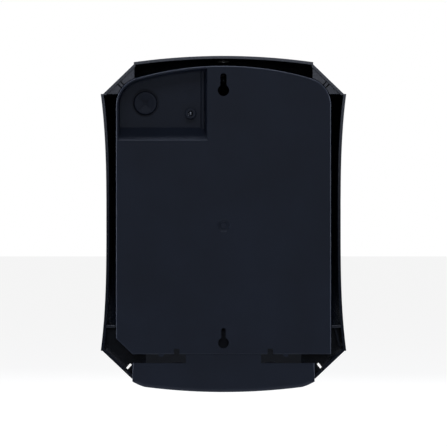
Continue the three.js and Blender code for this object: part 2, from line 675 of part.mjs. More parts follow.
// A curved sheet that follows the lever's face, from one offset behind it to another.
function leverSheet(near, far) {
  const xs = steps(14, -92, 92);
  const ring = (z, shift) => xs.map((x) => [x, leverFace(x, z) + shift, z]);
  const loop = (z) => [...ring(z, near), ...ring(z, far).reverse()];
  const n = xs.length;
  const positions = [...loop(-60), ...loop(-176)].flat();
  const index = [];
  for (let i = 0; i < 2 * n; i++) {
    const j = (i + 1) % (2 * n);
    index.push(i, j, i + 2 * n, j, j + 2 * n, i + 2 * n);
  }
  for (const first of [0, 2 * n])
    for (let i = 0; i + 1 < n; i++) {
      const [a, b, c, d] = [i, i + 1, 2 * n - 2 - i, 2 * n - 1 - i].map((k) => first + k);
      index.push(...(first ? [a, b, c, a, c, d] : [c, b, a, d, c, a]));
    }
  const geometry = new THREE.BufferGeometry();
  geometry.setAttribute("position", new THREE.Float32BufferAttribute(positions, 3));
  geometry.setIndex(index);
  return solidOf(geometry);
}

const PAD_Y = PIVOT_Y - 3;

function pushLever() {
  const outline = (inset) => slab(leverShape(-inset), "y", -170, -100, 10);
  const tray = outline(0).intersect(leverSheet(0, 10)).subtract(outline(2.5).intersect(leverSheet(3, 12)));
  const behind = leverSheet(1.5, 40);
  const ear = (x) =>
    slab(polygon([[-142, -86], [-119, -86.5], [-119, -97], [-128, -106], [-142, -112]]), "x", x, x + 3.5);
  const peg = (x) => bar(1.2, "x", x, PIVOT_Y - 7.5, PIVOT_Z - 1.6, 3, 12);
  const stem = box(-9, 9, -146, PAD_Y - 1, -127, -113);
  const rib = (x) => slab(polygon([[-148, -80], [-131, -80], [-136, -162], [-150, -162]]), "x", x - 1, x + 1);
  const inner = union(ear(36), ear(-39.5), peg(39), peg(-42), stem, rib(-8), rib(8))
    .intersect(behind)
    .intersect(outline(1));
  return without(
    tray.add(inner),
    bar(LEVER_PIN + GAP, "x", -45, PIVOT_Y, PIVOT_Z, 90, 16),
    bar(6 + GAP, "x", -10, PAD_Y, PUMP_Z, 20, 24),
    box(-2.6, 2.6, -136, -126, PUMP_Z - 2.6, PUMP_Z + 2.6),
  );
}

// The pad is a round nose with a square peg that plugs into the lever.
function pusherPad() {
  const nose = bar(6, "x", -8.5, PAD_Y, PUMP_Z, 17, 24);
  return nose.add(box(-2.3, 2.3, -135, PAD_Y, PUMP_Z - 2.3, PUMP_Z + 2.3));
}

// ---------------------------------------------------------------- lock
const lockBarrel = () =>
  turned(
    [[5.9, -15], [8.5, -15], [8.5, 0.3], [10.6, 0.3], [10.6, 0.9], [9.8, 1.5], [5.9, 1.5], [5.9, -15]],
    24,
  );

function lockNut() {
  const hexagon = bar(13, "z", 0, 0, 0, 4, 6);
  return hexagon.subtract(bar(8.8, "z", 0, 0, -1, 6, 24));
}

function lockPlug() {
  const plug = turned([[0, 1.3], [5.6, 1.3], [5.6, -15.6], [0, -15.6]], 20);
  return without(
    plug.add(box(-2.6, 2.6, -2.6, 2.6, -18.4, -15)),
    box(-0.7, 0.7, -3.4, 3.4, -2.5, 2),
    bar(1.7, "z", 0, 0, -20, 8, 12),
  );
}

// A hook cam: its curved slot closes round the strike pin when the plug is turned.
function lockCam() {
  const reach = -STRIKE_X;
  const degrees = THREE.MathUtils.degToRad;
  const shape = new THREE.Shape();
  shape.absarc(0, 0, 17.5, degrees(-118), degrees(-62), false);
  shape.absarc(0, 0, 7.5, degrees(-40), degrees(220), false);
  const slot = new THREE.Shape();
  slot.absarc(0, 0, reach + 3, degrees(-150), degrees(-74), false);
  slot.absarc(0, 0, reach - 3, degrees(-74), degrees(-150), true);
  const cam = slab(shape, "z", 0, 2.5, 10);
  return without(cam, slab(slot, "z", -1, 4, 8), box(-2.9, 2.9, -2.9, 2.9, -1, 4));
}

function strikeBracket() {
  const base = box(-35, STRIKE_X + 4.5, -13, -10 - GAP, 94, 109);
  const arm = box(STRIKE_X - 4.5, STRIKE_X + 4.5, -42.5, -11, 106, 109);
  const gusset = slab(polygon([[-12, 96], [-12, 107], [-36, 107]]), "x", STRIKE_X - 4.5, STRIKE_X - 2.3);
  const pin = bar(2.5, "z", STRIKE_X, LOCK_Y, 108, 9, 16);
  return without(
    union(base, arm, gusset, pin),
    ...STRIKE_SCREWS.map(([x, z]) => bar(1.9, "y", x, -16, z, 8, 12)),
  );
}

// A bowed steel strip that steadies the bottle against rattling.
function leafSpring() {
  const [x, z] = TAB_SCREW;
  const thickness = 0.6;
  const line = [
    [-FLANGE_DEPTH - GAP, z + 25], [-FLANGE_DEPTH - GAP, z - 8],
    ...steps(8, 0, 1).map((t) => [-FLANGE_DEPTH - GAP - 4.6 * Math.sin(Math.PI * t) - 0.4 * t, z - 10 - 62 * t]),
  ];
  const outline = [...line, ...line.map(([y, h]) => [y - thickness, h]).reverse()];
  return without(
    slab(polygon(outline), "x", x - 7, x + 7),
    bar(2.3, "y", x, -20, z, 8, 12),
    bar(2.4, "y", x, -20, z + 19.2, 8, 12),
  );
}

// ---------------------------------------------------------------- the assembly
const QUARTER = Math.PI / 2;
const dispenser = new THREE.Group();
const group = () => {
  const made = new THREE.Group();
  dispenser.add(made);
  return made;
};

const wallUnit = group();
piece(wallUnit, "back_plate", backPlate(), "chassis");
piece(wallUnit, "cable_plug", cablePlug(), "chassis", {
  at: [PLUG_X, -POCKET_DEPTH + 0.2, PLUG_Z],
  turn: [-QUARTER, 0, 0],
});
piece(wallUnit, "leaf_spring", leafSpring(), "spring");
piece(wallUnit, "leaf_spring_screw", screw(2, 11, 3.6), "steel", {
  at: [TAB_SCREW[0], -FLANGE_DEPTH - 1.3, TAB_SCREW[1]],
  turn: [QUARTER, 0, 0],
});
piece(wallUnit, "strike_bracket", strikeBracket(), "steel");
STRIKE_SCREWS.forEach(([x, z], i) =>
  piece(wallUnit, `strike_screw_${i + 1}`, screw(1.5, 8.5, 3.2), "steel", {
    at: [x, -13 - GAP, z],
    turn: [QUARTER, 0, 0],
  }),
);
piece(wallUnit, "pump_bracket", pumpBracket(), "chassis");
BRACKET_SCREWS.forEach(([x, z], i) =>
  piece(wallUnit, `bracket_screw_${i + 1}`, screw(1.9, 14, 4), "steel", {
    at: [x, -19 - GAP, z],
    turn: [QUARTER, 0, 0],
  }),
);
piece(wallUnit, "pump_body", pumpBody(), "pump");
[-30, 30].forEach((x, i) =>
  piece(wallUnit, `pump_screw_${i + 1}`, screw(1.6, 9, 3.4), "steel", {
    at: [x, SOCKET_Y, -90 - GAP],
    turn: [Math.PI, 0, 0],
  }),
);
piece(wallUnit, "neck_seal", neckSeal(), "rubber", { at: [0, SOCKET_Y, -100.2] });
piece(wallUnit, "inlet_valve", duckbill(5, 2.7, 8), "silicone", { at: [0, PORT_Y, -99.2] });
piece(wallUnit, "pump_end_cap", pumpEndCap(), "pump", { at: [0, -98.3, PUMP_Z], turn: [-QUARTER, 0, 0] });
piece(wallUnit, "outlet_valve", duckbill(6.6, 3.2, 6.6), "silicone", { at: [0, PORT_Y, -144.3] });
piece(wallUnit, "spout_nut", spoutNut(), "pump", { at: [0, PORT_Y, -152.2] });

const refill = group();
piece(refill, "refill_bottle", refillBottle(), "bottle");
piece(refill, "refill_cap", refillCap(), "cap", { at: [0, SOCKET_Y, -98.5] });

const plunger = group();
plunger.position.set(0, -120.6, PUMP_Z);
plunger.rotation.set(-QUARTER, 0, 0);
piece(plunger, "piston", piston(), "pump");
piece(plunger, "piston_seal", pistonSeal(), "rubber", { at: [0, 0, 43.9] });
piece(plunger, "pump_spring", coilSpring(6.2, 15.8, 6, 0.6), "spring", { at: [0, 0, 5.2] });

const cover = group();
piece(cover, "front_cover", frontCover(), "shell");
piece(cover, "sight_window", sightWindow(), "smoke");
piece(cover, "hinge_rod", bar(HINGE_ROD, "x", -78.4, HINGE_Y, HINGE_Z, 156.8), "steel");
for (const [side, s] of [["left", -1], ["right", 1]]) {
  const pin = bar(LEVER_PIN, "x", s > 0 ? 35 : -52.5, PIVOT_Y, PIVOT_Z, 17.5, 16);
  piece(cover, `lever_pin_${side}`, pin, "steel");
  const clip = bar(4.2, "x", 0, 0, 0, 0.8, 16).subtract(bar(LEVER_PIN + 0.1, "x", -1, 0, 0, 3, 16));
  const open = clip.subtract(box(-1, 2, -1.2, 1.2, -5, 0));
  piece(cover, `pin_clip_${side}`, open, "spring", { at: [s > 0 ? 50.4 : -51.2, PIVOT_Y, PIVOT_Z] });
}
const lockZ = topZ(0) - DRAFT * -LOCK_Y;
piece(cover, "lock_barrel", lockBarrel(), "lock", { at: [0, LOCK_Y, lockZ] });
piece(cover, "lock_nut", lockNut(), "lock", { at: [0, LOCK_Y, lockZ - WALL - 4.6] });

const lock = group();
lock.position.set(0, LOCK_Y, lockZ);
piece(lock, "lock_plug", lockPlug(), "lock");
piece(lock, "lock_cam", lockCam(), "steel", { at: [0, 0, -18.4] });
piece(lock, "cam_screw", screw(1.4, 6, 3.2), "steel", { at: [0, 0, -18.4 - GAP], turn: [Math.PI, 0, 0] });

const lever = group();
piece(lever, "push_lever", pushLever(), "lever");
piece(lever, "pusher_pad", pusherPad(), "pump");
for (const [side, s] of [["left", -1], ["right", 1]])
  piece(lever, `lever_spring_${side}`, coilSpring(3.4, 5, 4.25, 0.45, 9, s), "spring", {
    at: [s * 40.6, PIVOT_Y, PIVOT_Z],
    turn: [0, s * QUARTER, 0],
  });

export default dispenser;
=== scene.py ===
"""Push-lever soap dispenser for a wall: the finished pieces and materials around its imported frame.

The frame is in metres, +Z up, with the wall at Y = 0 and the user at -Y. Sizes below are in
millimetres; mm() turns them to metres.
"""

import math

import bpy
from mathutils import Matrix, Vector


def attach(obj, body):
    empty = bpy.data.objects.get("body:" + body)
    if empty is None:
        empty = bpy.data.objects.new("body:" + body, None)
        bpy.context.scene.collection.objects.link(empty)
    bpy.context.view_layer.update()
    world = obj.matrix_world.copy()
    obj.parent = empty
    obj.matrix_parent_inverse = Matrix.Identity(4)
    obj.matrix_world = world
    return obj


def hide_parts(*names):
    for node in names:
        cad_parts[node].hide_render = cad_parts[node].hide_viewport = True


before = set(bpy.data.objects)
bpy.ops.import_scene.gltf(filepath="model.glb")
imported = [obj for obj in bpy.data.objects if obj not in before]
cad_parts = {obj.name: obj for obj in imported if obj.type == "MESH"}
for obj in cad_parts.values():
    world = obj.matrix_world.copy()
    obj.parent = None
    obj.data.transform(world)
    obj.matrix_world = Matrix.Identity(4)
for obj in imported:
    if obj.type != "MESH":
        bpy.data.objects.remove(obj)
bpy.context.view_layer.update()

MM = 0.001
TURN = 2 * math.pi
QUARTER = math.pi / 2

# ------------------------------------------------------------------ sizes that pieces share
TOP_Z, TOP_RADIUS, CORNER_X = 131.5, 576, 80
WAIST_X, FLARE = 104.5, 5
SIDE_TOP_Z, SIDE_FOOT_Z = 97.5, -131.5
FOOT_X, FOOT_Z, BOTTOM_Z = 81.5, -156, -158
UPPER_STEP, LOWER_STEP = 1.5, 1.0
WALL, RIM_DEPTH, DRAFT = 2.5, 3, 0.026
FILLET_START, FILLET_RADIUS, CROWN = 106, 20, 16
FRAME_DEPTH = 28

PLATE_X, PLATE_TOP_Z, PLATE_ARCH, PLATE_CORNER = 95.7, 122.4, 280, 25
PLATE_FOOT_Z, PANEL, FLANGE_DEPTH, FLANGE = -134.4, 2.5, 16, 2
SEAT_Z, POCKET_DEPTH, TONGUE_BACK, TONGUE_RIM = 113, 14, 1.2, 6.2
POCKET_X, POCKET_Z = 14.5, 55.6
PLUG_X, PLUG_Z, PLUG_RADIUS = 70, 89.9, 10.4
TAB_X, TAB_Z = 29.4, 80.5

HINGE_Y, HINGE_Z, HINGE_ROD = -13, -148, 2.5
PIVOT_Y, PIVOT_Z, LEVER_PIN = -124, -92, 2
LEVER_TOP_Z, LEVER_ARCH, LEVER_X, LEVER_FOOT_Z, LEVER_GAP = -72, 113.5, 80, -165, 1.2
PUMP_Z, PORT_Y, SOCKET_Y = -120, -64, -68
LOCK_Y, STRIKE_X = -38, -13
LOCK_Z = TOP_Z + DRAFT * LOCK_Y


# ------------------------------------------------------------------ modelling
def mm(*point):
    return Vector(point) * MM


def span(n, low, high):
    return [low + (high - low) * i / n for i in range(n + 1)]


def arc(x, z, radius, start, end, n):
    """Points of an arc about (x, z), angles in radians."""
    return [(x + radius * math.cos(a), z + radius * math.sin(a)) for a in span(n, start, end)]


def curve(start, pull, end, n):
    """Points of a bend from start to end that is pulled towards a third point, without start."""
    return [
        tuple((1 - t) ** 2 * a + 2 * t * (1 - t) * b + t * t * c for a, b, c in zip(start, pull, end))
        for t in span(n, 0, 1)[1:]
    ]


def hold(*pieces):
    """Only these pieces are selected, and the first is active."""
    if bpy.context.mode != "OBJECT":
        bpy.ops.object.mode_set(mode="OBJECT")
    bpy.ops.object.select_all(action="DESELECT")
    for piece in pieces:
        piece.select_set(True)
    bpy.context.view_layer.objects.active = pieces[0] if pieces else None


def edit(piece, kind="VERT", test=None):
    """Opens a piece for editing, with the parts selected that pass test(middle in mm, part)."""
    hold(piece)
    bpy.ops.object.mode_set(mode="EDIT")
    bpy.ops.mesh.select_mode(type=kind)
    bpy.ops.mesh.select_all(action="SELECT" if test is None else "DESELECT")
    if test is None:
        return
    bpy.ops.object.mode_set(mode="OBJECT")
    mesh = piece.data
    parts = {"VERT": mesh.vertices, "EDGE": mesh.edges, "FACE": mesh.polygons}[kind]
    for part in parts:
        if kind == "FACE":
            middle = part.center / MM
        elif kind == "VERT":
            middle = part.co / MM
        else:
            middle = sum((mesh.vertices[v].co for v in part.vertices), Vector()) / 2 / MM
        part.select = bool(test(middle, part))
    bpy.ops.object.mode_set(mode="EDIT")


def trace(name, points, fill=True, close=True):
    """Draws an outline by extruding one vertex from point to point, and fills it with a face."""
    hold()
    bpy.ops.mesh.primitive_plane_add(size=MM / 10, location=mm(*points[0]))
    piece = bpy.context.object
    piece.name = piece.data.name = name
    bpy.ops.object.transform_apply()
    edit(piece)
    bpy.ops.mesh.merge(type="CENTER")
    path = list(points) + ([points[0]] if close else [])
    for here, there in zip(path, path[1:]):
        step = mm(*there) - mm(*here)
        bpy.ops.mesh.extrude_region_move(TRANSFORM_OT_translate={"value": step})
    bpy.ops.mesh.select_all(action="SELECT")
    bpy.ops.mesh.remove_doubles(threshold=1e-6)
    if fill:
        bpy.ops.mesh.edge_face_add()
    bpy.ops.object.mode_set(mode="OBJECT")
    return piece


def outward(piece):
    """Doubles are merged, strays are dropped, and the faces are turned outwards."""
    edit(piece)
    bpy.ops.mesh.remove_doubles(threshold=1e-6)
    bpy.ops.mesh.delete_loose()
    bpy.ops.mesh.select_all(action="SELECT")
    bpy.ops.mesh.normals_make_consistent(inside=False)
    bpy.ops.object.mode_set(mode="OBJECT")
    return piece


def prism(name, axis, outline, start, end):
    """An outline pushed along an axis: drawn in XZ for "y", in YZ for "x" and in XY for "z"."""
    at = {
        "x": lambda a, b: (start, a, b),
        "y": lambda a, b: (a, start, b),
        "z": lambda a, b: (a, b, start),
    }[axis]
    piece = trace(name, [at(a, b) for a, b in outline])
    edit(piece)
    push = {"x": (1, 0, 0), "y": (0, 1, 0), "z": (0, 0, 1)}[axis]
    step = mm(*push) * (end - start)
    bpy.ops.mesh.extrude_region_move(TRANSFORM_OT_translate={"value": step})
    return outward(piece)


def block(name, x0, x1, y0, y1, z0, z1):
    """A cube brought to size between two corners."""
    hold()
    middle = mm(x0 + x1, y0 + y1, z0 + z1) / 2
    bpy.ops.mesh.primitive_cube_add(size=1, location=middle)
    piece = bpy.context.object
    piece.name = piece.data.name = name
    piece.scale = mm(x1 - x0, y1 - y0, z1 - z0)
    bpy.ops.object.transform_apply()
    return piece


def rod(name, axis, radius, at, length, sides=32):
    """A round bar from one end point, along x, y or z."""
    hold()
    turn = {"x": (0, QUARTER, 0), "y": (-QUARTER, 0, 0), "z": (0, 0, 0)}[axis]
    push = {"x": (1, 0, 0), "y": (0, 1, 0), "z": (0, 0, 1)}[axis]
    bpy.ops.mesh.primitive_cylinder_add(
        vertices=sides,
        radius=radius * MM,
        depth=length * MM,
        location=mm(*at) + mm(*push) * length / 2,
        rotation=turn,
    )
    piece = bpy.context.object
    piece.name = piece.data.name = name
    bpy.ops.object.transform_apply()
    return piece


def turned(name, profile, at=(0, 0, 0), turn=(0, 0, 0), sides=48):
    """A profile of (radius, height) points spun about Z, then put in place."""
    open_ended = profile[0][0] == 0 and profile[-1][0] == 0
    points = [(r, 0, h) for r, h in profile]
    piece = trace(name, points, fill=False, close=not open_ended)
    edit(piece)
    bpy.ops.mesh.spin(steps=sides, angle=TURN, center=(0, 0, 0), axis=(0, 0, 1))
    bpy.ops.mesh.select_all(action="SELECT")
    bpy.ops.mesh.remove_doubles(threshold=1e-6)
    outward(piece)
    return placed(piece, at, turn)


def placed(piece, at=(0, 0, 0), turn=(0, 0, 0)):
    hold(piece)
    piece.location = mm(*at)
    piece.rotation_euler = turn
    bpy.ops.object.transform_apply()
    return piece


def copied(piece, name, at=(0, 0, 0), turn=(0, 0, 0)):
    hold(piece)
    bpy.ops.object.duplicate()
    copy = bpy.context.object
    copy.name = copy.data.name = name
    return placed(copy, at, turn)


def apply(piece, kind, **settings):
    """Adds a modifier with these settings and applies it."""
    hold(piece)
    bpy.ops.object.modifier_add(type=kind)
    modifier = piece.modifiers[-1]
    for key, value in settings.items():
        setattr(modifier, key, value)
    bpy.ops.object.modifier_apply(modifier=modifier.name)
    return piece


def combine(operation, piece, *tools):
    for tool in tools:
        apply(piece, "BOOLEAN", operation=operation, solver="EXACT", object=tool)
        bpy.data.objects.remove(tool)
    return piece


def cut(piece, *tools):
    return combine("DIFFERENCE", piece, *tools)


def fuse(piece, *tools):
    return combine("UNION", piece, *tools)


def within(piece, tool):
    return combine("INTERSECT", piece, tool)


def loft(name, rings):
    """A closed body through rings of equal length: drawn, joined, bridged and capped."""
    loops = [trace(f"{name}_{i}", ring, fill=False) for i, ring in enumerate(rings)]
    piece = joined(name, *loops)
    edit(piece, "EDGE")
    bpy.ops.mesh.bridge_edge_loops()
    bpy.ops.mesh.select_all(action="SELECT")
    bpy.ops.mesh.fill_holes(sides=0)
    bpy.ops.object.mode_set(mode="OBJECT")
    return outward(piece)


def joined(name, *pieces):
    hold(*pieces)
    bpy.ops.object.join()
    piece = bpy.context.object
    piece.name = piece.data.name = name
    return piece


def repeated(piece, count):
    """Copies of a piece all round Z, as one mesh."""
    turns = [copied(piece, "turn", turn=(0, 0, TURN * i / count)) for i in range(1, count)]
    return joined(piece.name, piece, *turns)


def clean(piece):
    """Merges what the cuts left split, so that edges can be rounded."""
    edit(piece)
    bpy.ops.mesh.remove_doubles(threshold=5e-6)
    bpy.ops.mesh.dissolve_degenerate(threshold=5e-6)
    bpy.ops.mesh.select_all(action="SELECT")
    bpy.ops.mesh.dissolve_limited(angle_limit=math.radians(0.4))
    bpy.ops.object.mode_set(mode="OBJECT")
    return piece


def soften(piece, width, segments=2, angle=32):
    """Rounds the edges sharper than angle, and shades what is left smooth."""
    clean(piece)
    apply(
        piece,
        "BEVEL",
        width=width * MM,
        segments=segments,
        limit_method="ANGLE",
        angle_limit=math.radians(angle),
    )
    return smooth(piece)


def smooth(piece, angle=32):
    hold(piece)
    bpy.ops.object.shade_smooth_by_angle(angle=math.radians(angle))
    return apply(piece, "WEIGHTED_NORMAL", keep_sharp=True)


def round_edges(piece, radius, segments, test):
    """Bevels the edges whose middle passes test."""
    edit(piece, "EDGE", test)
    bpy.ops.mesh.bevel(offset=radius * MM, segments=segments, affect="EDGES")
    bpy.ops.object.mode_set(mode="OBJECT")
    return piece


# ------------------------------------------------------------------ materials
def linear(colour):
    """An sRGB hex value as linear red, green, blue and alpha."""
    parts = [int(colour[i : i + 2], 16) / 255 for i in (1, 3, 5)]
    curve = [c / 12.92 if c <= 0.04045 else ((c + 0.055) / 1.055) ** 2.4 for c in parts]
    return (*curve, 1.0)


def add(tree, kind, inputs=None, **settings):
    """Adds a node; an input given as a socket is linked, and any other is its value."""
    made = tree.nodes.new(kind)
    for key, value in settings.items():
        setattr(made, key, value)
    for key, value in (inputs or {}).items():
        if isinstance(value, bpy.types.NodeSocket):
            tree.links.new(value, made.inputs[key])
        else:
            made.inputs[key].default_value = value
    return made


def plastic(name, dark, light, roughness, grain, depth, ior=1.53, **shader):
    """A moulded plastic: two close tones in drifting patches, and a spark-eroded grain.

    grain is the size of the mould's texture in mm, depth how deep it shades, in mm.
    """
    material = bpy.data.materials.new(name)
    material.use_nodes = True
    tree = material.node_tree
    tree.nodes.clear()
    where = add(tree, "ShaderNodeTexCoord").outputs["Object"]
    drift = add(tree, "ShaderNodeTexNoise", {"Vector": where, "Scale": 18.0, "Detail": 3.0})
    speck = add(tree, "ShaderNodeTexNoise", {"Vector": where, "Scale": 1 / (grain * MM), "Detail": 2.0})
    tone = add(
        tree,
        "ShaderNodeMapRange",
        {"Value": drift.outputs["Fac"], "From Min": 0.3, "From Max": 0.7},
    )
    colour = add(
        tree,
        "ShaderNodeMix",
        {0: tone.outputs["Result"], 6: linear(dark), 7: linear(light)},
        data_type="RGBA",
    )
    rough = add(
        tree,
        "ShaderNodeMapRange",
        {
            "Value": speck.outputs["Fac"],
            "From Min": 0.25,
            "From Max": 0.75,
            "To Min": roughness - 0.06,
            "To Max": roughness + 0.06,
        },
    )
    bump = add(
        tree,
        "ShaderNodeBump",
        {"Height": speck.outputs["Fac"], "Distance": depth * MM, "Strength": 0.6},
    )
    inputs = {
        "Base Color": colour.outputs[2],
        "Roughness": rough.outputs["Result"],
        "Normal": bump.outputs["Normal"],
        "IOR": ior,
        **shader,
    }
    surface = add(tree, "ShaderNodeBsdfPrincipled", inputs)
    add(tree, "ShaderNodeOutputMaterial", {"Surface": surface.outputs["BSDF"]})
    return material


def metal(name, dark, light, roughness, grain, stretch):
    """A bare or plated metal: its tone and gloss follow fine marks, drawn out along stretch."""
    material = bpy.data.materials.new(name)
    material.use_nodes = True
    tree = material.node_tree
    tree.nodes.clear()
    where = add(tree, "ShaderNodeTexCoord").outputs["Object"]
    drawn = add(tree, "ShaderNodeMapping", {"Vector": where, "Scale": stretch})
    marks = add(
        tree,
        "ShaderNodeTexNoise",
        {"Vector": drawn.outputs["Vector"], "Scale": 1 / (grain * MM), "Detail": 3.0},
    )
    colour = add(
        tree,
        "ShaderNodeMix",
        {0: marks.outputs["Fac"], 6: linear(dark), 7: linear(light)},
        data_type="RGBA",
    )
    rough = add(
        tree,
        "ShaderNodeMapRange",
        {"Value": marks.outputs["Fac"], "To Min": roughness - 0.08, "To Max": roughness + 0.08},
    )
    bump = add(
        tree,
        "ShaderNodeBump",
        {"Height": marks.outputs["Fac"], "Distance": 0.01 * MM, "Strength": 0.4},
    )
    inputs = {
        "Base Color": colour.outputs[2],
        "Roughness": rough.outputs["Result"],
        "Normal": bump.outputs["Normal"],
        "Metallic": 1.0,
    }
    surface = add(tree, "ShaderNodeBsdfPrincipled", inputs)
    add(tree, "ShaderNodeOutputMaterial", {"Surface": surface.outputs["BSDF"]})
    return material


FINISH = {
    # ABS, injection moulded in a spark-eroded tool: an even, close-grained blue-black
    "chassis": plastic(
        "spark_textured_abs", "#1d2431", "#232b3a", 0.48, 0.6, 0.02, **{"Specular IOR Level": 0.4}
    ),
    # ABS from a polished tool: the same blue-black with a satin gloss
    "shell": plastic("satin_abs", "#151a24", "#1a202b", 0.2, 1.4, 0.008),
    # ABS with a leather-fine grain, where hands rub it
    "lever": plastic("grained_abs", "#14171c", "#1a1e25", 0.4, 0.8, 0.05),
    # cast acrylic, dyed grey: dark, clear and glossy
    "smoke": plastic(
        "smoked_acrylic", "#3a3e45", "#40444c", 0.08, 2.0, 0.0, 1.49, **{"Transmission Weight": 0.85}
    ),
    # natural polyethylene, blow moulded: milky, with soap behind it
    "bottle": plastic(
        "natural_polyethylene", "#dfe3e0", "#ebeee9", 0.38, 2.5, 0.06, 1.54,
        **{"Subsurface Weight": 0.25, "Subsurface Radius": (0.004, 0.004, 0.004)},
    ),
    # polypropylene, moulded and slightly waxy
    "cap": plastic("blue_polypropylene", "#2a5c97", "#31659f", 0.4, 1.2, 0.03, 1.49),
    # acetal, machined-looking white mouldings
    "pump": plastic("white_acetal", "#d9dad6", "#e4e5e1", 0.35, 1.2, 0.02, 1.48),
    # nitrile rubber, pressed
    "rubber": plastic("nitrile_rubber", "#161616", "#1f1e1d", 0.72, 0.7, 0.04, 1.52),
    # silicone, pressed and cloudy
    "silicone": plastic(
        "clear_silicone", "#d5dbdb", "#e3e8e8", 0.45, 1.0, 0.03, 1.41, **{"Transmission Weight": 0.3}
    ),
    # steel with a bright zinc plating, slightly clouded
    "steel": metal("zinc_plated_steel", "#a9adb1", "#c9cccf", 0.32, 1.6, (1, 1, 1)),
    # drawn spring steel
    "spring": metal("drawn_spring_steel", "#8f9296", "#b5b8bb", 0.28, 0.8, (0.2, 1, 1)),
    # steel with a black zinc plating
    "black": metal("black_zinc_steel", "#1b1c1f", "#26282c", 0.42, 1.2, (1, 1, 1)),
    # zinc casting with a polished nickel plating
    "lock": metal("polished_nickel", "#bdbab2", "#d6d3cb", 0.16, 2.4, (1, 1, 1)),
}


def done(piece, body, slot, *nodes, finish=None):
    """Gives a finished piece its finish and body, in place of the nodes it stands for."""
    piece.data.materials.clear()
    piece.data.materials.append(FINISH[finish or slot])
    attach(piece, body)
    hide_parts(*nodes)
    return piece


# ------------------------------------------------------------------ back plate
CORNER_CENTRE_X = PLATE_X - PLATE_CORNER
ARCH_CENTRE_Z = PLATE_TOP_Z - PLATE_ARCH
CORNER_CENTRE_Z = ARCH_CENTRE_Z + math.sqrt(
    (PLATE_ARCH - PLATE_CORNER) ** 2 - CORNER_CENTRE_X**2
)
CORNER_ANGLE = math.atan2(CORNER_CENTRE_Z - ARCH_CENTRE_Z, CORNER_CENTRE_X)


def plate_outline(inset=0):
    x, foot = PLATE_X - inset, PLATE_FOOT_Z + inset
    corner = arc(CORNER_CENTRE_X, CORNER_CENTRE_Z, PLATE_CORNER - inset, 0, CORNER_ANGLE, 12)
    arch = arc(0, ARCH_CENTRE_Z, PLATE_ARCH - inset, CORNER_ANGLE, QUARTER, 18)
    upper = corner + arch[1:]
    mirrored = [(-a, b) for a, b in reversed(upper[:-1])]
    return [(81 - 0.4 * inset, foot), (x, -120.2 + 0.5 * inset), *upper, *mirrored, (-x, foot)]


def tongue_outline(inset=0):
    """The apron under the main panel, or its hollow, which is open at the top."""
    x, top = FOOT_X - 0.3 - inset, -142.4 + 4 * inset
    foot = [(-x, -158.6 + inset)]
    foot += curve(foot[0], (-78 + inset, -161.6 + inset), (-70.3, -163.9 + inset), 4)
    foot += curve(foot[-1], (0, -173 + inset), (70.3, -163.9 + inset), 24)
    foot += curve(foot[-1], (78 - inset, -161.6 + inset), (x, -158.6 + inset), 4)
    return [(x, top), (-x, top), *foot]


def pocket_ring(y, x, z, inset):
    corner = arc(CORNER_CENTRE_X, CORNER_CENTRE_Z, PLATE_CORNER - inset, 0, CORNER_ANGLE, 10)
    radius = PLATE_ARCH - inset
    arch = arc(0, ARCH_CENTRE_Z, radius, CORNER_ANGLE, math.acos(x / radius), 10)
    points = [(x, z), (PLATE_X - inset, z), *corner, *arch[1:]]
    return [(a, y, b) for a, b in points]


def keyhole(name, seat_z, entry_z, entry, slot):
    """One cutter for a keyhole: round entry and narrower slot, with a rounded seat."""
    lean = math.acos(slot / entry)
    outline = arc(0, entry_z, entry, QUARTER + (QUARTER - lean), TURN + QUARTER - (QUARTER - lean), 40)
    outline += arc(0, seat_z, slot, 0, math.pi, 16)
    return prism(name, "y", outline, -5, 1)


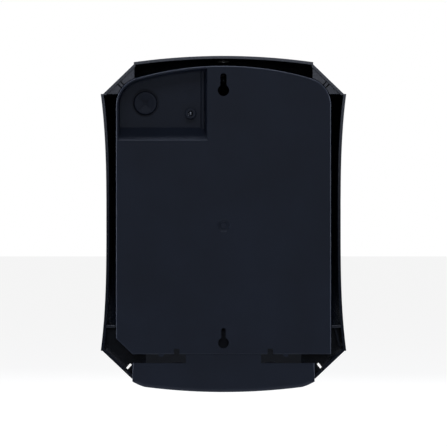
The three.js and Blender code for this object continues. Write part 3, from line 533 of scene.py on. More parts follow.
def moulded_plate():
    tray = prism("moulded_plate", "y", plate_outline(), 0, -FLANGE_DEPTH)
    edit(tray, "FACE", lambda m, f: f.normal.y < -0.9)
    bpy.ops.mesh.inset(thickness=FLANGE * MM)
    push = {"value": mm(0, FLANGE_DEPTH - PANEL, 0)}
    bpy.ops.mesh.extrude_region_move(TRANSFORM_OT_translate=push)
    bpy.ops.object.mode_set(mode="OBJECT")
    outward(tray)
    round_edges(tray, 1.3, 4, lambda m, e: m.y > -0.01)

    tongue = prism("tongue", "y", tongue_outline(), -TONGUE_RIM, -TONGUE_BACK)
    round_edges(tongue, 4.0, 7, lambda m, e: m.y > -1.21 and m.z < -160)
    round_edges(tongue, 1.2, 3, lambda m, e: m.y > -1.21 and -160 < m.z < -143 and abs(m.x) > 80)
    dish = prism("dish", "y", tongue_outline(FLANGE), -TONGUE_RIM - 1, -PANEL - TONGUE_BACK)
    round_edges(dish, 2.0, 4, lambda m, e: m.y > -PANEL - TONGUE_BACK - 0.01 and m.z < -158)
    cut(tongue, dish)
    tab = block("tab", -33.5, 33.5, -PANEL - TONGUE_BACK, -TONGUE_BACK, -143.4, -133)

    pocket = loft(
        "pocket",
        [
            pocket_ring(-0.5, POCKET_X - 2.2, POCKET_Z - 2.8, FLANGE / 2),
            pocket_ring(-FLANGE_DEPTH, POCKET_X + 4.6, POCKET_Z + 11, FLANGE / 2),
        ],
    )
    hollow = loft(
        "hollow",
        [
            pocket_ring(1, POCKET_X - 0.4, POCKET_Z - 0.9, FLANGE - 0.1),
            pocket_ring(-12.6, POCKET_X + 3.0, POCKET_Z + 11.4, FLANGE + 0.4),
            pocket_ring(-12.8, POCKET_X + 5.2, POCKET_Z + 11.6, FLANGE + 0.5),
            pocket_ring(-POCKET_DEPTH, POCKET_X + 6, POCKET_Z + 12.4, FLANGE + 0.8),
        ],
    )
    ribs = [block("rib", x - 0.9, x + 0.9, -11, -2, -133, 50) for x in (-62, -28, 28, 62)]
    ribs += [block("rib", -94, 94, -11, -2, z - 0.9, z + 0.9) for z in (-64, -12, 40)]
    bosses = [rod("boss", "y", 4.5, (x, -FLANGE_DEPTH, z), 14) for x, z in BRACKET_SCREWS]
    bosses += [rod("boss", "y", 4, (x, -10, z), 8) for x, z in STRIKE_SCREWS]
    nubs = [rod("nub", "y", 2.4, (x, -9, PLATE_FOOT_Z), 8.6, 24) for x in (-55.5, 55.5)]
    knuckles = []
    for x in (HINGE_NOTCH_X, -HINGE_NOTCH_X):
        knuckles.append(
            block("neck", x - 3.5, x + 3.5, HINGE_Y, -PANEL - 1, HINGE_Z - 5.5, HINGE_Z + 5.5)
        )
        knuckles.append(rod("knuckle", "x", 5.5, (x - 3.5, HINGE_Y, HINGE_Z), 7))
    fuse(tray, tongue, tab, pocket, *ribs, *bosses, *nubs, *knuckles)
    cut(tray, hollow)
    ring_boss = turned("ring_boss", [(0, 0), (5, 0), (5, 4.7), (4.5, 5.2), (0, 5.2)])
    fuse(tray, placed(ring_boss, (TAB_X, -POCKET_DEPTH - 0.7, TAB_Z), (-QUARTER, 0, 0)))

    # sprue mark: a shallow dished ring round a rough nub
    dish = [(0, 0.1), (2.6, 0.05), (3.2, -0.5), (4.2, -0.62), (5.4, -0.3), (6, 0.3), (6, 1), (0, 1)]
    sprue = turned("sprue", dish, (0, -0.2, -19.6), (-QUARTER, 0, 0))
    groove = turned(
        "groove",
        [(10.7, 0), (12.4, 0), (12.4, 2.2), (10.7, 2.2)],
        (PLUG_X, -POCKET_DEPTH - 1.1, PLUG_Z),
        (-QUARTER, 0, 0),
    )
    cut(
        tray,
        keyhole("top_keyhole", SEAT_Z, 100.6, 5.1, 2.75),
        keyhole("foot_keyhole", -SEAT_Z, -124.3, 4.8, 2),
        rod("plug_hole", "y", PLUG_RADIUS + 0.3, (PLUG_X, -20, PLUG_Z), 10, 48),
        rod("tab_hole", "y", 2.3, (TAB_X, -20, TAB_Z), 20),
        rod("peg_dimple", "y", 3.2, (TAB_X, -POCKET_DEPTH - 0.5, TAB_Z + 19.2), 2),
        *[rod("hole", "y", 2.2, (x, -20, z), 16.5, 24) for x, z in BRACKET_SCREWS],
        *[rod("hole", "y", 1.8, (x, -12, z), 8.5, 24) for x, z in STRIKE_SCREWS],
        *[
            block("notch", x - 2.5, x + 2.5, -20, 1, -140, -129.4)
            for x in (-HINGE_NOTCH_X, HINGE_NOTCH_X)
        ],
        *[
            rod("rod_hole", "x", HINGE_ROD + 0.3, (x - 4, HINGE_Y, HINGE_Z), 8, 24)
            for x in (-HINGE_NOTCH_X, HINGE_NOTCH_X)
        ],
        sprue,
        groove,
    )
    soften(tray, 0.3)
    return done(tray, "wall_unit", "chassis", "back_plate")


BRACKET_SCREWS = [(45, -92), (-45, -92), (45, -114), (-45, -114)]
STRIKE_SCREWS = [(-21.4, 98.5), (-30.6, 98.5)]
HINGE_NOTCH_X = 41.7


def cable_plug():
    """Press-in blanking disc: four facets sink to its middle, and thin ribs part them."""
    disc = turned(
        "blanking_disc",
        [(0, 0.5), (8.9, 0.5), (9.7, 0.35), (PLUG_RADIUS, -0.4), (PLUG_RADIUS, -4.4)]
        + [(PLUG_RADIUS - 1.4, -4.4), (PLUG_RADIUS - 1.4, -1.8), (0, -1.8)],
        sides=64,
    )
    hold()
    bpy.ops.mesh.primitive_cone_add(vertices=4, radius1=14 * MM, depth=1.4 * MM)
    dip = placed(bpy.context.object, turn=(math.pi, 0, 0))
    cut(disc, within(dip, rod("bound", "z", 8.4, (0, 0, -2), 6, 64)))
    for lean in (0, QUARTER):
        fuse(disc, placed(block("arm", -8.6, 8.6, -0.35, 0.35, -1.2, 0.45), turn=(0, 0, lean)))
    placed(disc, turn=(0, 0, QUARTER / 2))
    soften(placed(disc, (PLUG_X, -POCKET_DEPTH + 0.2, PLUG_Z), (-QUARTER, 0, 0)), 0.12, 1)
    return done(disc, "wall_unit", "chassis", "cable_plug")


# ------------------------------------------------------------------ cover
SIDE_MIDDLE = (SIDE_TOP_Z + SIDE_FOOT_Z) / 2
SIDE_HALF = (SIDE_TOP_Z - SIDE_FOOT_Z) / 2


def top_z(x):
    return TOP_Z - x * x / (2 * TOP_RADIUS)


def side_x(z):
    return WAIST_X + FLARE * abs((z - SIDE_MIDDLE) / SIDE_HALF) ** 3


def facet_line(x0, z0, x1, z1):
    """The line of a corner facet as (nx, nz, c): its points have nx * x + nz * z = c."""
    length = math.hypot(x1 - x0, z1 - z0)
    nx, nz = (z0 - z1) / length, (x1 - x0) / length
    sign = -1 if nx * x0 + nz * z0 < 0 else 1
    return sign * nx, sign * nz, sign * (nx * x0 + nz * z0)


UPPER = facet_line(CORNER_X, top_z(CORNER_X), side_x(SIDE_TOP_Z), SIDE_TOP_Z)
LOWER = facet_line(side_x(SIDE_FOOT_Z), SIDE_FOOT_Z, FOOT_X + LOWER_STEP, FOOT_Z - LOWER_STEP)


def facet_z(line, inset, x):
    return (line[2] - inset - line[0] * x) / line[1]


def facet_x(line, inset, z):
    return (line[2] - inset - line[1] * z) / line[0]


def root(f, low, high):
    """Where f changes sign between low and high."""
    for _ in range(40):
        middle = (low + high) / 2
        if f(low) * f(middle) <= 0:
            high = middle
        else:
            low = middle
    return (low + high) / 2


def cover_ring(depth, inset, share):
    """One ring of the cover at a depth, pulled in by inset, its corner facets stood back."""
    upper, lower = inset + UPPER_STEP * share, inset + LOWER_STEP * share
    end_x = root(lambda x: top_z(x) - inset - facet_z(UPPER, inset, x), 50, 100)
    end_z = root(lambda z: side_x(z) - inset - facet_x(UPPER, inset, z), 60, 110)
    foot_z = root(lambda z: side_x(z) - inset - facet_x(LOWER, inset, z), -150, -90)
    foot_x = FOOT_X - 0.4 * inset
    half = [(x, top_z(x) - inset) for x in span(14, 0, end_x)]
    half.append((end_x - 0.02, facet_z(UPPER, upper, end_x - 0.02)))
    half.append((facet_x(UPPER, upper, end_z + 0.02), end_z + 0.02))
    half += [(side_x(z) - inset, z) for z in span(26, end_z, foot_z)]
    half.append((facet_x(LOWER, lower, foot_z - 0.02), foot_z - 0.02))
    half.append((foot_x, facet_z(LOWER, lower, foot_x)))
    half += [(foot_x - 1, BOTTOM_Z + inset), (foot_x / 2, BOTTOM_Z + inset), (0, BOTTOM_Z + inset)]
    ring = half + [(-x, z) for x, z in reversed(half[1:-1])]
    return [(x, -depth, z) for x, z in ring]


def skin(name, inset=0, back=RIM_DEPTH):
    """The cover's outside, or a body just inside it: drafted, rounded and crowned."""

    def share(depth):
        return max(0.1, 1 - depth / (FILLET_START + FILLET_RADIUS))

    rings = [cover_ring(d, inset + DRAFT * d, share(d)) for d in (back, 54, FILLET_START)]
    radius = FILLET_RADIUS - inset
    for angle in (0.22, 0.44, 0.66, 0.88, 1.1, 1.3):
        depth = FILLET_START + radius * math.sin(angle)
        pulled = inset + DRAFT * FILLET_START + radius * (1 - math.cos(angle))
        rings.append(cover_ring(depth, pulled, share(depth)))
    edge, middle = rings[-1], (TOP_Z + BOTTOM_Z) / 2
    for s in (0.92, 0.82, 0.7, 0.56, 0.4, 0.22, 0.08):
        rings.append(
            [(x * s, y - CROWN * (1 - s * s), middle + (z - middle) * s) for x, y, z in edge]
        )
    return loft(name, rings)


def lever_outline(grow=0):
    """Arched top, near-upright sides and a shallow curved foot."""
    centre_z, radius, foot = LEVER_TOP_Z - LEVER_ARCH, LEVER_ARCH + grow, LEVER_FOOT_Z
    shoulder = math.acos((LEVER_X - 7) / LEVER_ARCH)
    x = LEVER_X + grow
    points = arc(0, centre_z, radius, shoulder, math.pi - shoulder, 40)
    points += curve(points[-1], (-x, LEVER_TOP_Z - 33 + grow), (-x - 0.6, LEVER_TOP_Z - 43), 8)
    points.append((-x - 2, foot + 18))
    points += curve(points[-1], (-x - 2, foot + 4 - grow), (12 - x, foot + 3.4 - grow), 10)
    points += curve(points[-1], (0, foot - 3.4 - grow), (x - 12, foot + 3.4 - grow), 20)
    points += curve(points[-1], (x + 2, foot + 4 - grow), (x + 2, foot + 18), 10)
    points.append((x + 0.6, LEVER_TOP_Z - 43))
    return points + curve(points[-1], (x, LEVER_TOP_Z - 33 + grow), points[0], 8)[:-1]


def window_outline(grow=0):
    radius = 12 + grow
    return arc(0, 32, radius, 0, math.pi, 20) + arc(0, -25, radius, math.pi, TURN, 20)


def upper_web(side, inside):
    """The web across an upper corner: a U-shaped slit frees its narrow snap finger."""
    low, high = sorted((side * (CORNER_X - 0.5), side * 112))
    web = within(block("web", low, high, -8, -5.5, SIDE_TOP_Z, 128), copied(inside, "inside"))
    cut(web, prism("clearance", "y", plate_outline(-0.8), -10, 0))
    lean = -side * QUARTER / 2 if side > 0 else QUARTER / 2
    for x0, x1, z0, z1 in ((-6.5, 6.5, -2.2, -1.2), (-6.5, 6.5, 1.2, 2.2), (5.5, 6.5, -2.2, 2.2)):
        slit = block("slit", side * x0 if side > 0 else -x1, x1 if side > 0 else -x0, -9, -4, z0, z1)
        cut(web, placed(slit, (side * 92, 0, 106.3), (0, lean, 0)))
    return web


def lower_web(side, inside):
    """Web and ledge across a lower corner, with a drain slot, and the lug of the hinge rod."""

    def between(a, b):
        return sorted((side * a, side * b))

    web = block("web", *between(70, 112), -FRAME_DEPTH, 2.5 - FRAME_DEPTH, -154, -108.3)
    within(web, copied(inside, "inside"))
    ledge = block("ledge", *between(96.6, 112), -FRAME_DEPTH, -5, -111.3, -108.3)
    round_edges(ledge, 1.2, 4, lambda m, e: m.y > -5.1 and abs(m.z + 109.8) > 1.4)
    within(ledge, copied(inside, "inside"))
    lug = rod("lug", "x", 5.5, (min(between(72, 80.5)), HINGE_Y, HINGE_Z), 8.5, 48)
    arm = block("arm", *between(73, 80), 1 - FRAME_DEPTH, HINGE_Y, -152.5, -143.5)
    fuse(web, ledge, lug, arm)
    socket = rod("socket", "x", HINGE_ROD + 0.3, (min(between(71, 79)), HINGE_Y, HINGE_Z), 8)
    return cut(web, socket)


def drain_slot(side):
    """Cutter for a drain slot, square to the corner facet, that runs into the wall behind it."""
    x, z, lean = (86.2, -147.8, -0.744) if side > 0 else (-87.4, -147.4, 0.64)
    slot = placed(block("drain", -1, 1, -30, -2, -4.6, 4.2), (x, 0, z), (0, lean, 0))
    return within(slot, skin("thin_wall", 1.2))


def lever_ear(x, inside):
    outline = [(-143, -40), (-143, -66), (-126, -78), (-126, -86), (-128, -89.5), (-128, -96)]
    outline += [(-118.5, -96), (-118.5, -76), (-130, -50), (-133, -40)]
    ear = within(prism("ear", "x", outline, x, x + 3), copied(inside, "inside"))
    peg = rod("peg", "x", 1.2, (x - 2.4 if x > 0 else x + 2.8, PIVOT_Y + 1.6, PIVOT_Z + 7.5), 2.6, 16)
    fuse(ear, peg)
    return cut(ear, rod("pivot", "x", LEVER_PIN + 0.3, (x - 1, PIVOT_Y, PIVOT_Z), 5, 24))


def moulded_cover():
    cover = skin("moulded_cover")
    cut(
        cover,
        skin("core", WALL, RIM_DEPTH - 1),
        block("underside", -120, 120, -200, -FRAME_DEPTH, -200, SIDE_FOOT_Z),
        block("foot_gap", -FOOT_X, FOOT_X, -FRAME_DEPTH - 1, 0, -170, -150),
        prism("lever_opening", "y", lever_outline(LEVER_GAP), -170, -100),
        prism("window_opening", "y", window_outline(), -170, -100),
        rod("lock_hole", "z", 8.8, (0, LOCK_Y, 120), 20, 48),
    )
    inside = skin("inside", WALL - 0.4)
    slant = [(-98.5, -109), (-99.9, -109), (-104.3, -126.2), (-110, -126.9), (-110, -128.3)]
    slant.append((-103.1, -127.6))
    rib = within(prism("slant_rib", "y", slant, 1 - FRAME_DEPTH, -9), copied(inside, "inside"))
    webs = [upper_web(1, inside), upper_web(-1, inside), lower_web(1, inside), lower_web(-1, inside)]
    fuse(cover, *webs, lever_ear(47, inside), lever_ear(-50, inside), rib)
    cut(cover, drain_slot(1), drain_slot(-1))
    bpy.data.objects.remove(inside)
    soften(cover, 0.45, 2, 40)
    return done(cover, "cover", "shell", "front_cover")


def sight_glass():
    """Lens that fills the cover's window, on a flange behind the cover's face."""
    glass = prism("sight_glass", "y", window_outline(-0.3), -170, -100)
    within(glass, skin("outside"))
    flange = prism("flange", "y", window_outline(4), -170, -100)
    within(flange, skin("behind", WALL + 0.3))
    fuse(glass, flange)
    cut(glass, skin("front_of_bottle", WALL + 2))
    soften(glass, 0.35, 2, 40)
    return done(glass, "cover", "smoke", "sight_window")


# ------------------------------------------------------------------ push lever
LEVER_SLOPE = 6 / 93


def lever_sheet(name, near, far):
    """A thick sheet along the lever's face: forward towards its foot, back at its sides."""
    top, foot = -60, -176

    def face(x):
        return -(139 + LEVER_SLOPE * (LEVER_TOP_Z - top) - 7 * (x / 82) ** 2)

    xs = span(40, -92, 92)
    outline = [(x, face(x) + near) for x in xs] + [(x, face(x) + far) for x in reversed(xs)]
    sheet = prism(name, "z", outline, foot, top)
    edit(sheet, "VERT", lambda m, v: m.z < foot + 1)
    bpy.ops.transform.translate(value=mm(0, LEVER_SLOPE * (foot - top), 0))
    return outward(sheet)


def hand_lever():
    lever = prism("hand_lever", "y", lever_outline(), -170, -100)
    within(lever, lever_sheet("face", 0, 10))
    hollow = prism("hollow", "y", lever_outline(-2.5), -170, -100)
    within(hollow, lever_sheet("depth", 3, 12))
    round_edges(lever, 1.2, 4, lambda m, e: lever_front(lever, e))
    cut(lever, hollow)

    ear = [(-142, -86), (-119, -86.5), (-119, -97), (-128, -106), (-142, -112)]
    rib = [(-148, -80), (-131, -80), (-136, -162), (-150, -162)]
    inner = [prism("ear", "x", ear, x, x + 3.5) for x in (36, -39.5)]
    inner += [rod("peg", "x", 1.2, (x, PIVOT_Y - 7.5, PIVOT_Z - 1.6), 3, 16) for x in (39, -42)]
    inner += [prism("rib", "x", rib, x - 1, x + 1) for x in (-8, 8)]
    stem = fuse(block("stem", -9, 9, -146, PIVOT_Y - 4, -127, -113), *inner)
    within(stem, lever_sheet("behind", 1.5, 40))
    within(stem, prism("bound", "y", lever_outline(-1), -170, -100))
    fuse(lever, stem)
    # three shallow grooves across the middle, where the heel of the hand pushes
    grooves = []
    for z in (-137, -142, -147):
        y = -(139 + LEVER_SLOPE * (LEVER_TOP_Z - z))
        grooves.append(loft("groove", [
            [
                (x, y + lift + 7 * (x / 82) ** 2 - 0.9 * math.cos(a), z + 0.9 * math.sin(a))
                for a in span(10, 0, TURN)[:-1]
            ]
            for x, lift in [(x, 0.45 + 1.2 * max(0, abs(x) - 26) / 6) for x in span(16, -32, 32)]
        ]))
    cut(
        lever,
        rod("pivot", "x", LEVER_PIN + 0.3, (-45, PIVOT_Y, PIVOT_Z), 90, 24),
        rod("pad_seat", "x", 6.3, (-10, PIVOT_Y - 3, PUMP_Z), 20),
        block("pad_peg", -2.6, 2.6, -136, -126, PUMP_Z - 2.6, PUMP_Z + 2.6),
        *grooves,
    )
    soften(lever, 0.35, 2, 40)
    return done(lever, "lever", "lever", "push_lever")


def lever_front(lever, edge):
    """Whether an edge runs round the rim of the lever's face."""
    for index in edge.vertices:
        x, y, z = lever.data.vertices[index].co / MM
        if abs(y + 139 + LEVER_SLOPE * (LEVER_TOP_Z - z) - 7 * (x / 82) ** 2) > 0.05:
            return False
    faces = [f for f in lever.data.polygons if edge.key in f.edge_keys]
    return len(faces) == 2 and faces[0].normal.angle(faces[1].normal) > 0.7


def pusher():
    """Round nose on a square peg that plugs into the lever."""
    nose = rod("pusher_nose", "x", 6, (-8.5, PIVOT_Y - 3, PUMP_Z), 17, 48)
    fuse(nose, block("peg", -2.3, 2.3, -135, PIVOT_Y - 3, PUMP_Z - 2.3, PUMP_Z + 2.3))
    soften(nose, 0.5, 3)
    return done(nose, "lever", "pump", "pusher_pad")


# ------------------------------------------------------------------ refill
def rounded_box_ring(z, inset):
    x, back, front = 76 - inset, -22 - inset, -114 + inset
    r = max(4, 20 - inset * 0.5)
    ring = arc(x - r, back - r, r, 0, QUARTER, 10)
    ring += arc(r - x, back - r, r, QUARTER, 2 * QUARTER, 10)
    ring += arc(r - x, front + r, r, 2 * QUARTER, 3 * QUARTER, 10)
    ring += arc(x - r, front + r, r, 3 * QUARTER, TURN, 10)
    return [(a, b, z) for a, b in ring]


def soap_bottle():
    """Blow-moulded: soft shoulders, and a sunk band all round where a label goes."""
    profile = [(-79.6, 14), (-79, 10), (-77.6, 6.6), (-75, 3.4), (-71.6, 1.3), (-67.5, 0.2)]
    profile += [(-63, 0), (-54.4, 0), (-53, 0.3), (-51.6, 1.1), (-50, 1.2), (49, 1.2), (50.6, 1.1)]
    profile += [(52, 0.3), (53.4, 0), (64, 0), (69, 0.8), (73.6, 2.4), (77.6, 5), (80.8, 8.4)]
    profile += [(83, 12.6), (84, 17.6), (84, 30), (83.4, 34)]
    bottle = loft("soap_bottle", [rounded_box_ring(z, inset) for z, inset in profile])
    neck = [(0, -97), (15.6, -97), (16.5, -96.2), (16.5, -80.6), (17.3, -79), (0, -79)]
    fuse(bottle, turned("neck", neck, (0, SOCKET_Y, 0)))
    smooth(clean(bottle), 40)
    return done(bottle, "refill", "bottle", "refill_bottle")


def ribbed_cap():
    profile = [(5.6, 0), (19.2, 0), (20, 0.8), (20, 14), (19.4, 14.6), (16.9, 14.6), (16.9, 1.2)]
    cap = turned("ribbed_cap", [*profile, (5, 1.2), (5, 0.5)], sides=72)
    flutes = repeated(rod("flutes", "z", 0.55, (20.2, 0, 2.4), 13, 10), 36)
    cut(cap, flutes)
    placed(smooth(clean(cap)), (0, SOCKET_Y, -98.5))
    return done(cap, "refill", "cap", "refill_cap")


# ------------------------------------------------------------------ pump
def pump_barrel():
    barrel = rod("pump_barrel", "y", 12, (0, -92, PUMP_Z), 47, 64)
    fuse(
        barrel,
        rod("socket", "z", 23.5, (0, SOCKET_Y, -103.5), 21, 72),
        rod("port", "z", 8, (0, PORT_Y, -115), 13, 48),
        rod("spout", "z", 7, (0, PORT_Y, -144), 16, 48),
        block("lug", 20, 36, -75, -61, -90, -87),
        block("lug", -36, -20, -75, -61, -90, -87),
    )
    cut(
        barrel,
        rod("bore", "y", 9, (0, -94, PUMP_Z), 46, 48),
        rod("bottle_seat", "z", 20.7, (0, SOCKET_Y, -100.5), 20, 72),
        rod("inlet", "z", 3.1, (0, PORT_Y, -113), 14, 24),
        rod("outlet", "z", 3.6, (0, PORT_Y, -146), 18, 24),
        *[rod("hole", "z", 2.3, (x, SOCKET_Y, -92), 6, 24) for x in (-30, 30)],
    )
    soften(barrel, 0.35)
    return done(barrel, "wall_unit", "pump", "pump_body")


def ring_piece(name, profile, at, turn, body, slot, node, round_by=0.15, sides=48):
    piece = turned(name, profile, sides=sides)
    soften(piece, round_by)
    placed(piece, at, turn)
    return done(piece, body, slot, node)


def duckbill(name, flange, body, length, at, node):
    """A hollow valve that narrows to a lip at its lower end."""
    profile = [(body - 1.2, 0), (flange, 0), (flange, -1), (body, -1), (body, -length * 0.5)]
    profile += [(0.5, -length), (0, -length), (0, -length * 0.75), (body - 1.2, -length * 0.45)]
    piece = turned(name, profile + [(body - 1.2, 0)])
    return done(placed(smooth(piece), at), "wall_unit", "silicone", node)


def coil(name, radius, height, turns, wire, leg=0, hand=1):
    """Round wire wound about Z from height 0, with a straight leg at each end."""
    hold()
    bpy.ops.mesh.primitive_circle_add(
        vertices=10, radius=wire * MM, location=mm(radius, 0, 0), rotation=(QUARTER, 0, 0)
    )
    piece = bpy.context.object
    piece.name = piece.data.name = name
    bpy.ops.object.transform_apply()
    steps = round(turns * 24)
    wound = {"angle": TURN * turns, "screw_offset": height * MM, "steps": steps}
    apply(piece, "SCREW", render_steps=steps, use_smooth_shade=True, **wound)
    if leg:
        end = TURN * turns
        tip = Vector((radius * math.cos(end), radius * math.sin(end), height))
        along = mm(-math.sin(end), math.cos(end), 0) * leg
        for at, push in ((Vector((radius, 0, 0)), mm(0, -leg, 0)), (tip, along)):
            edit(piece, "VERT", lambda m, v: (m - at).length < wire * 1.1)
            bpy.ops.mesh.extrude_region_move(TRANSFORM_OT_translate={"value": push})
    edit(piece)
    bpy.ops.mesh.fill_holes(sides=0)
    if hand < 0:
        bpy.ops.mesh.select_all(action="SELECT")
        bpy.ops.transform.resize(value=(-1, 1, 1))
    bpy.ops.object.mode_set(mode="OBJECT")
    outward(piece)
    return smooth(piece, 50)


def plunger():
    """Piston, its seal and its return spring, which slide in the barrel along Y."""
    at, turn = (0, -120.6, PUMP_Z), (-QUARTER, 0, 0)
    stem = [(0, 0), (9.4, 0), (10, 0.8), (10, 3.7), (9.7, 4), (4, 4), (4, 41), (8.6, 41)]
    stem += [(8.6, 43.6), (6.4, 43.6), (6.4, 46.4), (8.6, 46.4), (8.6, 48.6), (0, 48.6)]
    ring_piece("plunger_stem", stem, at, turn, "plunger", "pump", "piston")
    seal = [(6.7, 0), (8.8, 0), (8.8, 2.2), (6.7, 2.2)]
    seal_at = (0, -120.6 + 43.9, PUMP_Z)
    ring_piece("plunger_seal", seal, seal_at, turn, "plunger", "rubber", "piston_seal", 0.4)
    spring = placed(coil("return_spring", 6.2, 15.8, 6, 0.6), (0, -115.4, PUMP_Z), turn)
    done(spring, "plunger", "spring", "pump_spring")


def pump_bracket():
    low, shelf = -83, -80
    bracket = block("moulded_bracket", -66, 66, -19, -FLANGE_DEPTH - 0.3, -130.2, shelf)
    gusset = [(-17, low + 1), (-95, low + 1), (-17, -120)]
    fuse(
        bracket,
        block("shelf", -80.5, 80.5, -115.5, -FLANGE_DEPTH - 0.3, low, shelf),
        block("cheek", 78, 80.5, -110, -20, low, -62),
        block("cheek", -80.5, -78, -110, -20, low, -62),
        block("stop", -80.5, 80.5, -117.4, -114.9, low, -72),
        prism("gusset", "x", gusset, 58.7, 61.3),
        prism("gusset", "x", gusset, -61.3, -58.7),
        *[rod("boss", "z", 4.5, (x, SOCKET_Y, -86.7), 5) for x in (-30, 30)],
    )
    cut(
        bracket,
        rod("socket_hole", "z", 24.2, (0, SOCKET_Y, -95), 30, 72),
        *[rod("hole", "z", 1.9, (x, SOCKET_Y, -90), 20, 24) for x in (-30, 30)],
        *[rod("hole", "y", 2.3, (x, -22, z), 8, 24) for x, z in BRACKET_SCREWS],
    )
    soften(bracket, 0.4)
    return done(bracket, "wall_unit", "chassis", "pump_bracket")


# ------------------------------------------------------------------ screws and small metal
def pan_screw(shank, length, head):
    """A domed head with a cross recess, head up, its shank down through the origin."""
    profile = [(0, head * 0.72), (head * 0.3, head * 0.71), (head * 0.6, head * 0.63)]
    profile += [(head * 0.85, head * 0.45), (head, head * 0.2), (head, 0), (shank, 0)]
    pitch = 0.9
    for i in range(int((length - 2 * shank) / pitch)):
        low = -shank / 2 - i * pitch
        profile += [(shank * 0.78, low), (shank, low - pitch / 2)]
    profile += [(shank * 0.78, -length + shank), (0, -length)]
    screw = turned("screw", profile, sides=24)
    arms = []
    for turn in (0, QUARTER):
        arm = block("arm", -head * 0.5, head * 0.5, -0.4, 0.4, head * 0.4, head)
        edit(arm, "VERT", lambda m, v: m.z < head * 0.5)
        bpy.ops.transform.resize(value=(0.55, 0.8, 1))
        bpy.ops.object.mode_set(mode="OBJECT")
        arms.append(placed(arm, turn=(0, 0, turn)))
    return smooth(clean(cut(screw, *arms)))


def screws():
    toward_user, down = (QUARTER, 0, 0), (math.pi, 0, 0)
    sizes = [
        ((2, 11, 3.6), toward_user, "wall_unit", [("leaf_spring_screw", (TAB_X, -17.3, TAB_Z))]),
        (
            (1.5, 8.5, 3.2),
            toward_user,
            "wall_unit",
            [(f"strike_screw_{i + 1}", (x, -13.3, z)) for i, (x, z) in enumerate(STRIKE_SCREWS)],
        ),
        (
            (1.9, 14, 4),
            toward_user,
            "wall_unit",
            [(f"bracket_screw_{i + 1}", (x, -19.3, z)) for i, (x, z) in enumerate(BRACKET_SCREWS)],
        ),
        (
            (1.6, 9, 3.4),
            down,
            "wall_unit",
            [(f"pump_screw_{i + 1}", (x, SOCKET_Y, -90.3)) for i, x in enumerate((-30, 30))],
        ),
        ((1.4, 6, 3.2), down, "lock", [("cam_screw", (0, LOCK_Y, LOCK_Z - 18.7))]),
    ]
    for size, turn, body, places in sizes:
        master = pan_screw(*size)
        for node, at in places:
            done(copied(master, f"cross_{node}", at, turn), body, "steel", node)
        bpy.data.objects.remove(master)


def bottle_spring():
    """A bowed strip that steadies the bottle, with a hole for its screw and one for its peg."""
    back = -FLANGE_DEPTH - 0.3
    line = [(back, TAB_Z + 25), (back, TAB_Z - 8)]
    line += [(back - 4.6 * math.sin(math.pi * t) - 0.4 * t, TAB_Z - 10 - 62 * t) for t in span(20, 0, 1)]
    strip = prism("bowed_strip", "x", line + [(y - 0.6, z) for y, z in reversed(line)], TAB_X - 7, TAB_X + 7)
    cut(strip, *[rod("hole", "y", r, (TAB_X, -20, z), 8) for r, z in ((2.3, TAB_Z), (2.4, TAB_Z + 19.2))])
    soften(strip, 0.12, 1)
    return done(strip, "wall_unit", "spring", "leaf_spring")


def strike():
    """Folded plate with a riveted pin for the hook of the lock to catch."""
    plate = block("folded_strike", -35, STRIKE_X + 4.5, -13, -10.3, 94, 109)
    gusset = [(-12, 96), (-12, 107), (-36, 107)]
    fuse(
        plate,
        block("arm", STRIKE_X - 4.5, STRIKE_X + 4.5, -42.5, -11, 106, 109),
        prism("gusset", "x", gusset, STRIKE_X - 4.5, STRIKE_X - 2.3),
        rod("pin", "z", 2.5, (STRIKE_X, LOCK_Y, 108), 9),
    )
    cut(plate, *[rod("hole", "y", 1.9, (x, -16, z), 8, 24) for x, z in STRIKE_SCREWS])
    soften(plate, 0.4)
    return done(plate, "wall_unit", "steel", "strike_bracket", finish="black")


def hinge_and_pins():
    hinge = rod("ground_rod", "x", HINGE_ROD, (-78.4, HINGE_Y, HINGE_Z), 156.8, 40)
    done(soften(hinge, 0.5), "cover", "steel", "hinge_rod")
    for side, start, clip_at in (("left", -52.5, -51.2), ("right", 35, 50.4)):
        pin = rod(f"pivot_{side}", "x", LEVER_PIN, (start, PIVOT_Y, PIVOT_Z), 17.5)
        done(soften(pin, 0.3), "cover", "steel", f"lever_pin_{side}")
        clip = rod(f"clip_{side}", "x", 4.2, (0, 0, 0), 0.8, 40)
        cut(clip, rod("bore", "x", LEVER_PIN + 0.1, (-1, 0, 0), 3), block("mouth", -1, 2, -1.2, 1.2, -5, 0))
        soften(placed(clip, (clip_at, PIVOT_Y, PIVOT_Z)), 0.12, 1)
        done(clip, "cover", "spring", f"pin_clip_{side}")


def lever_springs():
    for side, s in (("left", -1), ("right", 1)):
        spring = coil(f"torsion_{side}", 3.4, 5, 4.25, 0.45, 9, s)
        placed(spring, (s * 40.6, PIVOT_Y, PIVOT_Z), (0, s * QUARTER, 0))
        done(spring, "lever", "spring", f"lever_spring_{side}")


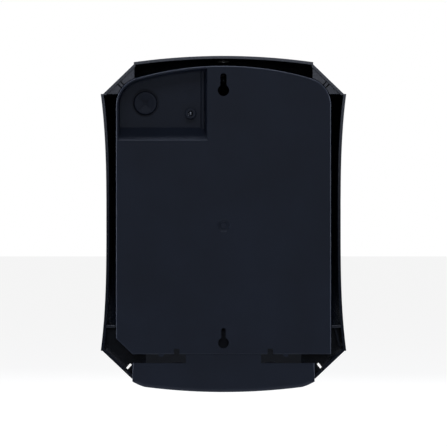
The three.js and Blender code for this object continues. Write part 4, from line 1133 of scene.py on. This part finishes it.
# ------------------------------------------------------------------ lock
def lock():
    at = (0, LOCK_Y, LOCK_Z)
    barrel = [(5.9, -15), (8.5, -15), (8.5, 0.3), (10.6, 0.3), (10.6, 0.8), (10.2, 1.3), (9.6, 1.5)]
    barrel += [(6.3, 1.5), (5.9, 1.1)]
    turn = (0, 0, 0)
    ring_piece("cam_lock_barrel", barrel, at, turn, "cover", "lock", "lock_barrel", 0.15, 64)

    nut = rod("hexagon_nut", "z", 13, (0, LOCK_Y, LOCK_Z - WALL - 4.6), 4, 6)
    cut(nut, rod("thread", "z", 8.8, (0, LOCK_Y, LOCK_Z - 12), 10, 48))
    done(soften(nut, 0.4), "cover", "lock", "lock_nut", finish="black")

    plug = turned("keyed_plug", [(0, 1.3), (5.2, 1.3), (5.6, 0.9), (5.6, -15.6), (0, -15.6)])
    fuse(plug, block("square", -2.6, 2.6, -2.6, 2.6, -18.4, -15))
    cut(plug, block("keyway", -0.7, 0.7, -3.4, 3.4, -2.5, 2), rod("hole", "z", 1.7, (0, 0, -20), 8, 24))
    done(placed(soften(plug, 0.15, 1), at), "lock", "lock", "lock_plug")

    degrees = math.radians
    hook = arc(0, 0, 17.5, degrees(-118), degrees(-62), 14)
    hook += arc(0, 0, 7.5, degrees(-40), degrees(220), 30)
    slot = arc(0, 0, 3 - STRIKE_X, degrees(-150), degrees(-74), 24)
    slot += arc(0, 0, -STRIKE_X - 3, degrees(-74), degrees(-150), 24)
    cam = prism("hook_cam", "z", hook, 0, 2.5)
    cut(cam, prism("slot", "z", slot, -1, 4), block("square_hole", -2.9, 2.9, -2.9, 2.9, -1, 4))
    done(placed(soften(cam, 0.2, 1), (0, LOCK_Y, LOCK_Z - 18.4)), "lock", "steel", "lock_cam", finish="black")


moulded_plate()
cable_plug()
moulded_cover()
sight_glass()
hand_lever()
pusher()
soap_bottle()
ribbed_cap()
pump_barrel()
pump_bracket()
plunger()
screws()
bottle_spring()
strike()
hinge_and_pins()
lever_springs()
lock()
ring_piece(
    "socket_seal", [(10.5, 0), (15, 0), (15, 1.4), (10.5, 1.4)], (0, SOCKET_Y, -100.2), (0, 0, 0),
    "wall_unit", "rubber", "neck_seal", 0.4,
)
duckbill("upper_duckbill", 5, 2.7, 8, (0, PORT_Y, -99.2), "inlet_valve")
duckbill("lower_duckbill", 6.6, 3.2, 6.6, (0, PORT_Y, -144.3), "outlet_valve")
end_cap = [(4.4, 0), (13.4, 0), (13.8, 0.4), (13.8, 14), (12.3, 14), (12.3, 6), (4.4, 6)]
ring_piece(
    "screwed_end_cap", end_cap, (0, -98.3, PUMP_Z), (-QUARTER, 0, 0),
    "wall_unit", "pump", "pump_end_cap", 0.25, 72,
)
nozzle = [(3.8, 0), (8, 0), (10, 3.5), (10, 18), (7.4, 18), (7.4, 6.4), (3.8, 6.4)]
spout = turned("spout_nozzle", nozzle, sides=72)
cut(spout, repeated(rod("flutes", "z", 0.5, (10.15, 0, 5), 15, 8), 24))
placed(smooth(clean(spout)), (0, PORT_Y, -152.2))
done(spout, "wall_unit", "pump", "spout_nut")

# ------------------------------------------------------------------ stage, light and camera
def softbox(name, size, location, aim, power, tint=(1, 1, 1)):
    hold()
    lamp_at = Vector(location)
    bpy.ops.object.light_add(type="AREA", location=lamp_at)
    lamp = bpy.context.object
    lamp.name = name
    lamp.data.shape = "RECTANGLE"
    lamp.data.size, lamp.data.size_y = size
    lamp.data.energy = power
    lamp.data.color = tint
    lamp.visible_camera = False
    lamp.rotation_euler = (Vector(aim) - lamp_at).to_track_quat("-Z", "Y").to_euler()
    return lamp


hold()
bpy.ops.mesh.primitive_plane_add(size=40, location=(0, 0, -0.34))
floor = bpy.context.object
floor.name = "floor"
floor.data.materials.append(plastic("painted_floor", "#606060", "#666666", 0.8, 4.0, 0.05))
# the floor glows a little for the eye alone, so it stays pale as far as it goes
tree = floor.data.materials[0].node_tree
eye = add(tree, "ShaderNodeLightPath").outputs["Is Camera Ray"]
paint = next(n for n in tree.nodes if n.type == "BSDF_PRINCIPLED")
paint.inputs["Emission Color"].default_value = (1, 1, 1, 1)
glow = add(tree, "ShaderNodeMath", {0: eye, 1: 0.9}, operation="MULTIPLY")
tree.links.new(glow.outputs[0], paint.inputs["Emission Strength"])

world = bpy.data.worlds.new("studio")
bpy.context.scene.world = world
world.use_nodes = True
tree = world.node_tree
tree.nodes.clear()
ray = add(tree, "ShaderNodeLightPath")
surround = add(tree, "ShaderNodeBackground", {"Color": (1, 1, 1, 1), "Strength": 0.04})
backdrop = add(tree, "ShaderNodeBackground", {"Color": (1, 1, 1, 1), "Strength": 1.0})
sky = add(
    tree,
    "ShaderNodeMixShader",
    {0: ray.outputs["Is Camera Ray"], 1: surround.outputs[0], 2: backdrop.outputs[0]},
)
add(tree, "ShaderNodeOutputWorld", {"Surface": sky.outputs[0]})

COOL = (0.88, 0.95, 1.14)
softbox("overhead", (2.4, 1.0), (0, -0.3, 2.0), (0, 0, 0), 48, COOL)
softbox("rear_high", (2.6, 1.2), (0, 1.8, 2.0), (0, 0, 0), 11, COOL)
softbox("rear_panel", (0.95, 0.36), (0, 2.3, 0.36), (0, 0, 0), 2.0, COOL)
softbox("left_strip", (0.5, 2.0), (2.2, -0.1, 0.3), (0, 0, 0), 36, COOL)
softbox("right_strip", (0.5, 2.0), (-2.2, -0.1, 0.3), (0, 0, 0), 36, COOL)
softbox("low_panel", (1.2, 0.5), (0, 0.1, -0.33), (0, 0.1, 0), 0.6, COOL)
softbox("front_fill", (2.2, 1.6), (-0.5, -2.2, 1.0), (0, 0, 0), 30)

scene = bpy.context.scene
scene.view_settings.view_transform = "Standard"
hold()
bpy.ops.object.camera_add(location=(0, 2.0, -0.018), rotation=(QUARTER, 0, math.pi))
camera = bpy.context.object
camera.data.lens, camera.data.sensor_width = 181, 36
camera.data.clip_start, camera.data.clip_end = 0.05, 100
scene.camera = camera
